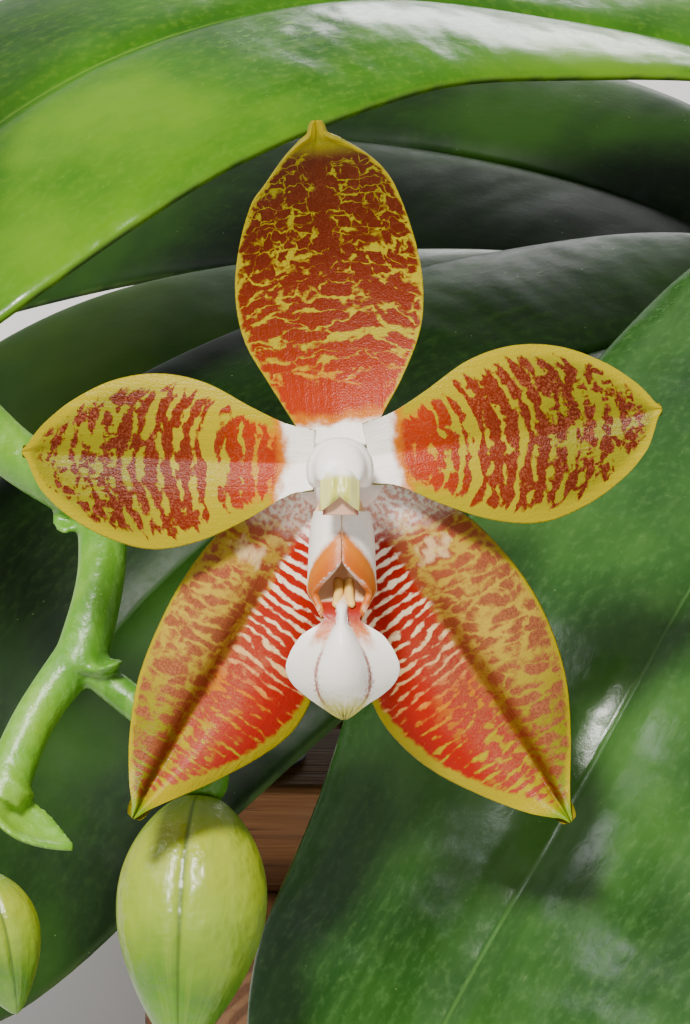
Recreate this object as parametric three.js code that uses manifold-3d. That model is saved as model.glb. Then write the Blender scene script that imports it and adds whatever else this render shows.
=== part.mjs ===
// A moth orchid, Phalaenopsis amboinensis, planted in a slatted wooden basket.
// Millimetres, +Z up. The origin is the middle of the basket's underside, and the bloom looks towards -Y.
// The basket stands on its two lowest rails; the plant rises from bark, and its flower spike arches over
// to the front left.

import * as THREE from "three";
import { mergeVertices } from "three/addons/utils/BufferGeometryUtils.js";
import Module from "manifold-3d";

// Driving dimensions

const SEAT_GAP = 0.3; // clearance between a piece and what carries it

const SLAT_HEIGHT = 11;
const SLAT_WIDTH = 12;
const SLAT_CHAMFER = 1.2;
const RAIL_LENGTH = 172;
const RAIL_OFFSET = 74; // from the basket's middle to a rail's middle
const LAYERS = 7; // rails laid crosswise in turn, from the floor up
const FLOOR_SLATS = 4;
const FLOOR_SLAT_PITCH = 29;
const ROD_RADIUS = 1.2;
const ROD_HOLE_RADIUS = 1.6;
const ROD_HEAD_RADIUS = 3;
const ROD_HEAD_HEIGHT = 1;
const ROD_FOOT = 1; // height of a rod's lower end, so that the basket rests on wood

const BARK_TOP = 67; // height of the bark's core; chips stand out of it
const BARK_CORE_INSET = 5;
const CHIP_SIZE = 23;
const CHIPS_ACROSS = 5;
const SIDE_CHIPS = 3; // in each gap between two rails of a side
const SIDE_CHIP_PITCH = 38;
const CHIP_STRAY = 5; // how far a chip's place varies from its regular one

const STEM_RADIUS = 7.6;
const STEM_BASE = 71;
const STEM_TOP = 112;
const STEM_CLEARANCE = 1; // between the stem and the bark round it
const ROOT_RADIUS = 2.6;
const ROOT_CLEARANCE = 0.45; // between a root and the bark round it

const LEAF_THICKNESS = 1.9;
const TEPAL_THICKNESS = 0.85;

const BLOOM_CENTRE = new THREE.Vector3(-68, -104, 119);
const BLOOM_TILT = 25; // degrees that the bloom's face looks above the horizon
const RACHIS_RADIUS = 2.4;

const wasm = await Module();
wasm.setup();

// Seeded random numbers, so that every run gives the same plant.
function seeded(seed) {
  let state = seed >>> 0;
  return () => {
    state = (Math.imul(state, 1664525) + 1013904223) >>> 0;
    return state / 4294967296;
  };
}

// A smooth function through [t, value] knots.
function through(knots) {
  const slope = (i) => {
    const a = knots[Math.max(i - 1, 0)];
    const b = knots[Math.min(i + 1, knots.length - 1)];
    return (b[1] - a[1]) / (b[0] - a[0]);
  };
  return (t) => {
    let i = 0;
    while (i < knots.length - 2 && t > knots[i + 1][0]) i += 1;
    const span = knots[i + 1][0] - knots[i][0];
    const u = Math.min(Math.max((t - knots[i][0]) / span, 0), 1);
    const h1 = u * u * (3 - 2 * u);
    const h2 = u * (1 - u) * (1 - u);
    const h3 = u * u * (u - 1);
    return knots[i][1] * (1 - h1) + knots[i + 1][1] * h1 + span * (h2 * slope(i) + h3 * slope(i + 1));
  };
}

// The curve class through points given as [x, y, z].
function curveThrough(points) {
  return new THREE.CatmullRomCurve3(
    points.map((p) => new THREE.Vector3(...p)),
    false,
    "catmullrom",
    0.5,
  );
}

// An indexed geometry, turned so that its faces point out.
function closedGeometry(vertices, faces) {
  const position = new Float32Array(vertices.flatMap((v) => [v.x, v.y, v.z]));
  let volume = 0;
  for (const [a, b, c] of faces) volume += vertices[a].dot(vertices[b].clone().cross(vertices[c]));
  const index = faces.flatMap(([a, b, c]) => (volume < 0 ? [a, c, b] : [a, b, c]));
  const geometry = new THREE.BufferGeometry();
  geometry.setAttribute("position", new THREE.BufferAttribute(position, 3));
  geometry.setIndex(index);
  return geometry;
}

// A closed body through rings of points, with a fan at each end. The fans' middles stand out by caps.
function loft(rings, caps = [0, 0]) {
  const sides = rings[0].length;
  const vertices = rings.flat();
  const faces = [];
  for (let i = 0; i + 1 < rings.length; i += 1) {
    for (let j = 0; j < sides; j += 1) {
      const a = i * sides + j;
      const b = i * sides + ((j + 1) % sides);
      faces.push([a, b, b + sides], [a, b + sides, a + sides]);
    }
  }
  const centre = (ring) => ring.reduce((sum, p) => sum.add(p), new THREE.Vector3()).divideScalar(sides);
  for (const [ring, inner, cap] of [
    [0, 1, caps[0]],
    [rings.length - 1, rings.length - 2, caps[1]],
  ]) {
    const middle = vertices.length;
    const out = centre(rings[ring]).sub(centre(rings[inner])).normalize();
    vertices.push(centre(rings[ring]).addScaledVector(out, cap));
    for (let j = 0; j < sides; j += 1) {
      const a = ring * sides + j;
      const b = ring * sides + ((j + 1) % sides);
      faces.push(ring === 0 ? [b, a, middle] : [a, b, middle]);
    }
  }
  return closedGeometry(vertices, faces);
}

// Rings along a curve. radii(t) gives [half-width, half-height], and the half-width runs along side, or
// level where no side is given.
function ringsAlong(curve, radii, steps, sides, side) {
  const rings = [];
  const level = new THREE.Vector3();
  const up = new THREE.Vector3();
  for (let i = 0; i <= steps; i += 1) {
    const t = i / steps;
    const tangent = curve.getTangent(t);
    if (side) level.copy(side).addScaledVector(tangent, -side.dot(tangent)).normalize();
    else if (i === 0) level.set(0, 0, 1).cross(tangent).normalize();
    else level.addScaledVector(tangent, -level.dot(tangent)).normalize();
    up.copy(tangent).cross(level).normalize();
    const [a, b] = radii(t);
    const middle = curve.getPoint(t);
    rings.push(
      Array.from({ length: sides }, (_, j) => {
        const angle = (2 * Math.PI * j) / sides;
        return middle
          .clone()
          .addScaledVector(level, a * Math.cos(angle))
          .addScaledVector(up, b * Math.sin(angle));
      }),
    );
  }
  return rings;
}

function tube(points, radii, steps, sides, side, caps) {
  return loft(ringsAlong(curveThrough(points), radii, steps, sides, side), caps);
}

// A thin closed blade: surface(u, v) is its upper face, for u from 0 to 1 and v from -1 to 1.
function blade(surface, thickness, along, across) {
  const vertices = [];
  const step = 1e-3;
  const columns = across + 1;
  const grid = (i, j) => i * columns + j;
  const under = [];
  for (let i = 0; i <= along; i += 1) {
    for (let j = 0; j <= across; j += 1) {
      const u = i / along;
      const v = (2 * j) / across - 1;
      const here = surface(u, v);
      const alongU = surface(Math.min(u + step, 1), v).sub(surface(Math.max(u - step, 0), v));
      const alongV = surface(u, Math.min(v + step, 1)).sub(surface(u, Math.max(v - step, -1)));
      const normal = alongU.cross(alongV).normalize();
      vertices.push(here);
      under.push(here.clone().addScaledVector(normal, -thickness(u, v)));
    }
  }
  const count = vertices.length;
  vertices.push(...under);
  const faces = [];
  for (let i = 0; i < along; i += 1) {
    for (let j = 0; j < across; j += 1) {
      const [a, b, c, d] = [grid(i, j), grid(i + 1, j), grid(i + 1, j + 1), grid(i, j + 1)];
      const [e, f, g, h] = [a, b, c, d].map((k) => k + count);
      faces.push([a, b, c], [a, c, d], [e, g, f], [e, h, g]);
    }
  }
  const rim = [];
  for (let j = 0; j < across; j += 1) rim.push([grid(0, j), grid(0, j + 1)]);
  for (let i = 0; i < along; i += 1) rim.push([grid(i, across), grid(i + 1, across)]);
  for (let j = across; j > 0; j -= 1) rim.push([grid(along, j), grid(along, j - 1)]);
  for (let i = along; i > 0; i -= 1) rim.push([grid(i, 0), grid(i - 1, 0)]);
  for (const [a, b] of rim) faces.push([a, b, b + count], [a, b + count, a + count]);
  return closedGeometry(vertices, faces);
}

// Solids for the joins and cuts

function toSolid(geometry) {
  const bare = geometry.clone();
  bare.deleteAttribute("normal");
  bare.deleteAttribute("uv");
  const merged = mergeVertices(bare, 1e-4);
  return new wasm.Manifold(
    new wasm.Mesh({
      numProp: 3,
      vertProperties: new Float32Array(merged.attributes.position.array),
      triVerts: new Uint32Array(merged.index.array),
    }),
  );
}

function toGeometry(solid) {
  const mesh = solid.getMesh();
  const geometry = new THREE.BufferGeometry();
  geometry.setAttribute("position", new THREE.BufferAttribute(new Float32Array(mesh.vertProperties), 3));
  geometry.setIndex(new THREE.BufferAttribute(new Uint32Array(mesh.triVerts), 1));
  return geometry;
}

function union(geometries) {
  return geometries.map(toSolid).reduce((sum, solid) => sum.add(solid));
}

// Only the largest body is kept, so that no scrap of a cut stays loose.
function largest(solid) {
  return solid.decompose().reduce((a, b) => (a.volume() > b.volume() ? a : b));
}

// Materials

const finish = (color, roughness, metalness = 0) =>
  new THREE.MeshStandardMaterial({ color, roughness, metalness });

const MATERIALS = {
  teak: finish(0x8a5a34, 0.75),
  wire: finish(0x9a9c9c, 0.4, 0.9),
  bark: finish(0x5a3320, 0.95),
  root: finish(0xa9b09a, 0.8),
  leaf: finish(0x2f6b2a, 0.35),
  stalk: finish(0x7fae52, 0.5),
  bud: finish(0x9cb43a, 0.45),
  barred: finish(0xa8461c, 0.45),
  cream: finish(0xf3ecdc, 0.5),
  cap: finish(0xdfe48c, 0.5),
};

const plant = new THREE.Group();

function place(parent, name, geometry, material) {
  const mesh = new THREE.Mesh(geometry, MATERIALS[material]);
  mesh.name = name;
  parent.add(mesh);
  return mesh;
}

// The basket: rails laid crosswise in layers, floor slats on the lowest pair, a wire rod down each corner

// A rail lies along X with its underside at height 0, and holes gives the places of its rod holes.
function railGeometry(length, holes) {
  const a = length / 2;
  const b = SLAT_WIDTH / 2;
  const c = SLAT_CHAMFER;
  const outline = new THREE.Shape([
    new THREE.Vector2(-a + c, -b),
    new THREE.Vector2(a - c, -b),
    new THREE.Vector2(a, -b + c),
    new THREE.Vector2(a, b - c),
    new THREE.Vector2(a - c, b),
    new THREE.Vector2(-a + c, b),
    new THREE.Vector2(-a, b - c),
    new THREE.Vector2(-a, -b + c),
  ]);
  for (const x of holes) {
    const hole = new THREE.Path();
    hole.absarc(x, 0, ROD_HOLE_RADIUS, 0, 2 * Math.PI, true);
    outline.holes.push(hole);
  }
  return new THREE.ExtrudeGeometry(outline, { depth: SLAT_HEIGHT, bevelEnabled: false, curveSegments: 3 });
}

function basket() {
  const rail = railGeometry(RAIL_LENGTH, [-RAIL_OFFSET, RAIL_OFFSET]);
  for (let layer = 0; layer < LAYERS; layer += 1) {
    const crosswise = layer % 2 === 1;
    const names = crosswise ? ["left", "right"] : ["front", "back"];
    names.forEach((name, k) => {
      const mesh = place(plant, `basket_rail_${name}_${layer + 1}`, rail, "teak");
      const offset = (k === 0 ? -1 : 1) * RAIL_OFFSET;
      mesh.position.set(crosswise ? offset : 0, crosswise ? 0 : offset, layer * SLAT_HEIGHT);
      if (crosswise) mesh.rotation.z = Math.PI / 2;
    });
  }
  const slat = railGeometry(RAIL_LENGTH, []);
  for (let k = 0; k < FLOOR_SLATS; k += 1) {
    const mesh = place(plant, `basket_floor_slat_${k + 1}`, slat, "teak");
    mesh.position.set((k - (FLOOR_SLATS - 1) / 2) * FLOOR_SLAT_PITCH, 0, SLAT_HEIGHT);
    mesh.rotation.z = Math.PI / 2;
  }
  const top = LAYERS * SLAT_HEIGHT + SEAT_GAP;
  const rod = new THREE.LatheGeometry(
    [
      new THREE.Vector2(0, ROD_FOOT),
      new THREE.Vector2(ROD_RADIUS, ROD_FOOT),
      new THREE.Vector2(ROD_RADIUS, top),
      new THREE.Vector2(ROD_HEAD_RADIUS, top),
      new THREE.Vector2(ROD_HEAD_RADIUS * 0.8, top + ROD_HEAD_HEIGHT),
      new THREE.Vector2(0, top + ROD_HEAD_HEIGHT),
    ],
    8,
  );
  rod.rotateX(Math.PI / 2);
  const corners = [
    ["front_left", -1, -1],
    ["front_right", 1, -1],
    ["back_left", -1, 1],
    ["back_right", 1, 1],
  ];
  for (const [name, x, y] of corners) {
    place(plant, `corner_rod_${name}`, rod, "wire").position.set(x * RAIL_OFFSET, y * RAIL_OFFSET, 0);
  }
}

// The roots: thick and silvery, from a crown under the stem, over the bark and between or over the rails

const CROWN_HEIGHT = 66;

// Each root is [start angle in degrees, reach, sideways wander, whether it dives into the "bark" or goes
// "over" the rim].
const ROOTS = [
  [-122, 50, 5, "bark"],
  [-78, 46, -5, "bark"],
  [-32, 52, 6, "bark"],
  [14, 96, 5, "over"],
  [62, 48, -5, "bark"],
  [110, 54, 6, "bark"],
  [150, 50, -5, "bark"],
  [196, 97, -10, "over"],
];

function rootPoints([angle, reach, wander, ending]) {
  const a = THREE.MathUtils.degToRad(angle);
  const at = (r, side, lift) => [
    r * Math.cos(a) - side * Math.sin(a),
    r * Math.sin(a) + side * Math.cos(a),
    CROWN_HEIGHT + lift,
  ];
  const crown = [at(3, 0, -2), at(11, 0.2 * wander, 1)];
  if (ending === "bark") {
    return [
      ...crown,
      at(0.45 * reach, wander, 4),
      at(0.75 * reach, -0.4 * wander, 5),
      at(reach, 0.3 * wander, -8),
    ];
  }
  return [
    ...crown,
    at(0.4 * reach, wander, 5),
    at(0.66 * reach, 0.2 * wander, 10),
    at(0.8 * reach, 0.4 * wander, 14.6),
    at(0.92 * reach, 0.6 * wander, 7),
    at(0.96 * reach, 0.8 * wander, -12),
    at(reach, 1.2 * wander, -34),
  ];
}

// The crown and roots as one solid, with every surface moved out by extra.
function rootSolid(extra) {
  const crown = tube(
    [
      [0, 0, CROWN_HEIGHT - 8 - extra],
      [0, 0, CROWN_HEIGHT - 2],
      [0, 0, STEM_BASE - SEAT_GAP],
    ],
    (t) => {
      const r = 5.5 + 2.5 * Math.sin(Math.PI * Math.min(t + 0.15, 1)) + extra;
      return [r, r];
    },
    4,
    10,
    new THREE.Vector3(1, 0, 0),
  );
  const roots = ROOTS.map((root) => {
    const steps = root[3] === "over" ? 13 : 7;
    const radius = (t) => ROOT_RADIUS * (1 - 0.35 * t ** 4) + extra;
    return tube(rootPoints(root), (t) => [radius(t), radius(t)], steps, 6, undefined, [0, 1 + 2 * extra]);
  });
  return union([crown, ...roots]);
}

// The bark: a core with chips standing out of its top and sides, cut clear of rails, stem and roots

function chip(random, middle) {
  const size = (share) => CHIP_SIZE * share * (0.75 + 0.5 * random());
  const [length, width, depth] = [size(1), size(0.7), size(0.45)];
  const box = new THREE.BoxGeometry(length, width, depth);
  box.deleteAttribute("normal");
  box.deleteAttribute("uv");
  const corners = mergeVertices(box);
  const position = corners.getAttribute("position");
  for (let i = 0; i < position.count; i += 1) {
    const uneven = () => 0.7 + 0.5 * random();
    position.setX(i, position.getX(i) * uneven());
    position.setY(i, position.getY(i) * uneven());
    position.setZ(i, position.getZ(i) * uneven());
  }
  corners.rotateZ(Math.PI * random());
  corners.rotateX(0.7 * (random() - 0.5));
  corners.rotateY(0.7 * (random() - 0.5));
  corners.translate(middle.x, middle.y, middle.z);
  return corners;
}

function barkSolid(roots) {
  const random = seeded(7);
  const inner = RAIL_OFFSET - SLAT_WIDTH / 2 - SEAT_GAP;
  const floor = 2 * SLAT_HEIGHT + SEAT_GAP;
  const half = inner - BARK_CORE_INSET;
  const core = new THREE.BoxGeometry(2 * half, 2 * half, BARK_TOP - floor);
  core.translate(0, 0, (BARK_TOP + floor) / 2);
  const chips = [];
  const pitch = (2 * inner) / CHIPS_ACROSS;
  for (let i = 0; i < CHIPS_ACROSS; i += 1) {
    for (let j = 0; j < CHIPS_ACROSS; j += 1) {
      const x = (i + 0.5) * pitch - inner + CHIP_STRAY * (random() - 0.5);
      const y = (j + 0.5) * pitch - inner + CHIP_STRAY * (random() - 0.5);
      chips.push(chip(random, new THREE.Vector3(x, y, BARK_TOP + 1.5 * (random() - 0.3))));
    }
  }
  // In each side's gaps between the rails the chips show too.
  for (let face = 0; face < 4; face += 1) {
    const rows = face % 2 === 0 ? [3.5, 5.5] : [2.5, 4.5];
    for (const row of rows) {
      for (let k = 0; k < SIDE_CHIPS; k += 1) {
        const along = (k - (SIDE_CHIPS - 1) / 2) * SIDE_CHIP_PITCH + CHIP_STRAY * (random() - 0.5);
        const middle = new THREE.Vector3(along, -half, row * SLAT_HEIGHT + 3 * (random() - 0.5));
        chips.push(chip(random, middle.applyAxisAngle(new THREE.Vector3(0, 0, 1), (face * Math.PI) / 2)));
      }
    }
  }
  const room = new THREE.BoxGeometry(2 * inner, 2 * inner, BARK_TOP);
  room.translate(0, 0, floor + BARK_TOP / 2);
  const filled = union([core, ...chips]).intersect(toSolid(room));
  const holeRadius = STEM_RADIUS + STEM_CLEARANCE;
  const holeDepth = STEM_TOP - STEM_BASE + 2 * STEM_CLEARANCE;
  const stemHole = new THREE.CylinderGeometry(holeRadius, holeRadius, holeDepth, 12);
  stemHole.rotateX(Math.PI / 2);
  stemHole.translate(0, 0, (STEM_TOP + STEM_BASE) / 2);
  return largest(filled.subtract(roots).subtract(toSolid(stemHole)));
}

// The stem: short, with the sheaths of old leaves on alternate sides

function stemGeometry() {
  const height = STEM_TOP - STEM_BASE;
  const rings = [];
  const steps = 14;
  const sides = 12;
  for (let i = 0; i <= steps; i += 1) {
    const t = i / steps;
    const swell = 0.3 * Math.sin((i * Math.PI) / 2);
    const radius = i === 0 ? 0.8 * STEM_RADIUS : STEM_RADIUS * (1 - 0.45 * t ** 5) + swell;
    rings.push(
      Array.from({ length: sides }, (_, j) => {
        const angle = (2 * Math.PI * j) / sides;
        const [x, y] = [radius * Math.cos(angle), radius * Math.sin(angle)];
        return new THREE.Vector3(x, y, STEM_BASE + height * t);
      }),
    );
  }
  return loft(rings);
}

// Leaves: an arching midrib, a half-width from base to tip, and a section that opens from a channel

const LEAF_WIDTH = [
  [0, 0.26],
  [0.12, 0.42],
  [0.3, 0.72],
  [0.55, 0.98],
  [0.7, 1.0],
  [0.85, 0.82],
  [0.94, 0.52],
  [1, 0.04],
];

// How far a leaf's edges stand above its midrib, as a share of its half-width.
const LEAF_CHANNEL = [
  [0, 0.25],
  [0.08, 0.6],
  [0.2, 0.38],
  [0.5, 0.18],
  [1, 0.06],
];

// Each leaf is [name, greatest half-width, roll in degrees, points of its midrib].
const LEAVES = [
  [
    "leaf_front_low",
    25,
    -18,
    [
      [-8.6, -3.2, 79], [-30, -9, 86], [-58, -17, 90], [-86, -27, 87],
      [-108, -35, 73], [-121, -40, 54],
    ],
  ],
  [
    "leaf_front_shaded",
    25,
    -12,
    [
      [-6.9, -5.9, 88], [-20, -18, 95.5], [-36, -31, 99.5], [-56, -46, 99.5],
      [-79, -60.5, 92.5], [-97, -74, 76], [-110, -85, 52],
    ],
  ],
  [
    "leaf_front_arching",
    27,
    0,
    [
      [-3.4, -7.4, 98], [-9, -22, 104], [-20, -47, 107], [-37, -84, 99.5],
      [-48, -100, 86.5], [-59, -111, 71], [-68, -120, 54],
    ],
  ],
  [
    "leaf_top_arching",
    26,
    0,
    [
      [-7.1, -0.9, 106], [-24, -2, 115], [-46, -4, 121.5], [-70, -12, 126.5],
      [-94, -27, 124], [-116, -45, 111], [-134, -62, 92],
    ],
  ],
  [
    "leaf_back_left",
    27,
    -16,
    [
      [-6.4, 6.6, 76], [-28, 19, 90], [-56, 34, 94], [-84, 49, 90],
      [-108, 61, 76], [-122, 68, 56],
    ],
  ],
  [
    "leaf_back_low",
    26,
    0,
    [
      [8.6, 3.2, 82], [32, 13, 90], [62, 25, 90], [92, 38, 79],
      [112, 48, 61], [122, 54, 42],
    ],
  ],
  [
    "leaf_back_middle",
    28,
    0,
    [
      [5.6, 7.1, 92], [23, 29, 107], [46, 60, 111], [66, 90, 100],
      [80, 112, 80], [88, 124, 60],
    ],
  ],
  [
    "leaf_back_upper",
    27,
    0,
    [
      [6.4, 4.2, 102], [28, 19, 122], [57, 40, 134], [88, 62, 131],
      [114, 82, 114], [130, 95, 92],
    ],
  ],
  [
    "leaf_new",
    14,
    8,
    [
      [2.4, 1.6, 113], [10, 8, 130], [22, 17, 150], [38, 28, 166],
      [54, 38, 174],
    ],
  ],
];

// The upper face of a leaf as a function of u along it and v across it.
function leafSurface(halfWidth, roll, points) {
  const midrib = curveThrough(points);
  const width = through(LEAF_WIDTH);
  const opening = through(LEAF_CHANNEL);
  const turn = THREE.MathUtils.degToRad(roll);
  return (u, v) => {
    const tangent = midrib.getTangent(u);
    const side = tangent.clone().cross(new THREE.Vector3(0, 0, 1)).normalize();
    const normal = side.clone().cross(tangent).normalize();
    side.applyAxisAngle(tangent, turn);
    normal.applyAxisAngle(tangent, turn);
    const w = halfWidth * width(u);
    const channel = opening(u);
    const arch = 0.22 * Math.sin(Math.PI * Math.min(u * 1.05, 1)) * v * v;
    const groove = 1.1 * Math.exp(-((v / 0.09) ** 2)) * (1 - 0.6 * u);
    const spread = v * w * (1 - 0.35 * channel);
    return midrib
      .getPoint(u)
      .addScaledVector(side, spread)
      .addScaledVector(normal, w * (channel * Math.abs(v) - arch) - groove);
  };
}

function leaves() {
  for (const [name, halfWidth, roll, points] of LEAVES) {
    const thickness = (u, v) => LEAF_THICKNESS * (1 - 0.4 * Math.abs(v)) * (1 - 0.35 * u);
    place(plant, name, blade(leafSurface(halfWidth, roll, points), thickness, 10, 6), "leaf");
  }
}

// The flower spike: a peduncle that arches over from beside the stem, then a zigzag rachis with a bract
// at each node, and a pedicel to the bloom and to each bud

const PEDUNCLE = [
  [-6.4, 6.4, 98],
  [-13, 15, 108],
  [-22, 32, 130],
  [-34, 40, 156],
  [-55, 36, 183],
  [-80, 14, 197],
  [-101, -22, 190],
  [-112, -55, 165],
  [-110, -76, 138],
  [-103, -84, 122],
  [-96.6, -86.6, 113.7],
];
const NODE_BLOOM = [-88.2, -88.9, 108.7];
const NODE_BUD = [-89.8, -96.1, 98];
const NODE_SMALL_BUD = [-95.7, -104.3, 89.9];
const RACHIS_TIP = [-103.5, -107, 84];

// Each bract is [seat, direction, length, half-width].
const BRACTS = [
  [[-96.4, -105.4, 89.4], [0.75, -0.35, -0.55], 7, 2.6],
  [[-88, -97.4, 97.6], [0.5, -0.6, 0.2], 5, 2.2],
  [[-90.3, -88.6, 108], [-0.3, -0.75, -0.5], 5, 2.3],
  [[-104, -107.6, 84], [0.1, -0.7, -0.6], 4.5, 2],
  [[-24.5, 34.5, 136], [-0.25, 0.25, 0.9], 13, 3.4],
  [[-72.5, 22, 196.4], [-0.75, -0.6, 0.25], 12, 3.2],
];

// Each bud is [name, its node, top, tip, half-width across the view, half-width in depth].
const BUDS = [
  ["bud_large", NODE_BUD, [-79.6, -104.5, 89.5], [-81, -119.5, 74.2], 6.2, 5.6],
  ["bud_small", NODE_SMALL_BUD, [-97.6, -109, 85], [-94.5, -115.5, 75.5], 3.7, 3.4],
  ["bud_tip", RACHIS_TIP, [-107.2, -110, 80.4], [-108.5, -113.6, 75.4], 2.3, 2.1],
];

const PEDICEL_RADIUS = 1.35;
const PEDICEL_BEND = 3; // how far above a bud its pedicel turns into line with it
const OVARY_RADIUS = 2.1;

// A boat-shaped bract from its seat along a direction.
function bract(seat, along, length, halfWidth) {
  const direction = new THREE.Vector3(...along).normalize();
  const side = direction.clone().cross(new THREE.Vector3(0, 0, 1)).normalize();
  const back = side.clone().cross(direction).normalize();
  const rings = [0, 0.35, 0.7, 1].map((t) => {
    const w = halfWidth * Math.sin(Math.PI * (0.28 + 0.66 * t));
    const depth = 0.42 * w;
    const middle = new THREE.Vector3(...seat)
      .addScaledVector(direction, length * t)
      .addScaledVector(back, 0.18 * length * t * t);
    const rim = [-1, -0.5, 0, 0.5, 1].map((s) =>
      middle.clone().addScaledVector(side, s * w).addScaledVector(back, depth * (s * s - 1)),
    );
    return [...rim, middle.clone().addScaledVector(back, 0.9 - depth)];
  });
  return loft(rings);
}

// A length of the rachis, sunk a little into its neighbours at both ends.
function internode(from, to, radius, bow) {
  const [a, b] = [new THREE.Vector3(...from), new THREE.Vector3(...to)];
  const way = b.clone().sub(a).normalize();
  const middle = a.clone().lerp(b, 0.5).add(bow);
  const points = [a.addScaledVector(way, -1.6), middle, b.addScaledVector(way, 1.2)];
  return tube(
    points.map((p) => p.toArray()),
    (t) => [radius * (1 - 0.16 * Math.sin(Math.PI * t)), radius * (0.9 - 0.14 * Math.sin(Math.PI * t))],
    4,
    8,
  );
}

// A bud's pedicel comes down to its top in line with the bud.
function budPedicel([, node, top, tip]) {
  const crown = new THREE.Vector3(...top);
  const axis = new THREE.Vector3(...tip).sub(crown).normalize();
  const bend = crown.clone().addScaledVector(axis, -PEDICEL_BEND);
  const radius = (t) => PEDICEL_RADIUS * (1 + 0.25 * t);
  return tube([node, bend.toArray(), top], (t) => [radius(t), radius(t)], 5, 7);
}

// The bloom's pedicel swells into its ovary and ends just behind the tepals.
function bloomPedicel() {
  const behind = (distance) => BLOOM_CENTRE.clone().addScaledVector(bloomFace(), -distance).toArray();
  const radius = (t) => OVARY_RADIUS + (PEDICEL_RADIUS - OVARY_RADIUS) * Math.min(1, t * 1.6);
  return tube(
    [behind(1.75), behind(4.5), [-70.5, -94, 114.5], [-78, -89.6, 111.6], NODE_BLOOM],
    (t) => [radius(t), radius(t)],
    9,
    8,
  );
}

function flowerSpike() {
  const radius = (t) => RACHIS_RADIUS * (1.08 - 0.16 * t);
  const joints = [NODE_BLOOM, NODE_BUD, NODE_SMALL_BUD, RACHIS_TIP];
  const parts = [tube([...PEDUNCLE, NODE_BLOOM], (t) => [radius(t), radius(t)], 24, 7)];
  for (let i = 0; i + 1 < joints.length; i += 1) {
    const bow = new THREE.Vector3(i % 2 ? -0.7 : 0.9, 0.5, 0.3);
    parts.push(internode(joints[i], joints[i + 1], RACHIS_RADIUS * (1.02 - 0.1 * i), bow));
  }
  parts.push(...BRACTS.map((row) => bract(...row)));
  parts.push(...BUDS.map(budPedicel));
  parts.push(bloomPedicel());
  return toGeometry(union(parts));
}

// A bud is an egg of overlapping sepals that hangs from the end of its pedicel.
function budGeometry([, , top, tip, halfWidth, halfDepth]) {
  const crown = new THREE.Vector3(...top);
  const end = new THREE.Vector3(...tip);
  crown.addScaledVector(end.clone().sub(crown).normalize(), SEAT_GAP);
  const middle = crown.clone().lerp(end, 0.5);
  const swell = (t) => Math.sin(Math.PI * (0.09 + 0.88 * t ** 0.85)) ** 0.8;
  return tube(
    [crown.toArray(), middle.toArray(), end.toArray()],
    (t) => [halfWidth * swell(t), halfDepth * swell(t)],
    8,
    9,
  );
}

// The bloom, in its own frame: x to its right as seen, y up along the dorsal sepal, z out of its face

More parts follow.
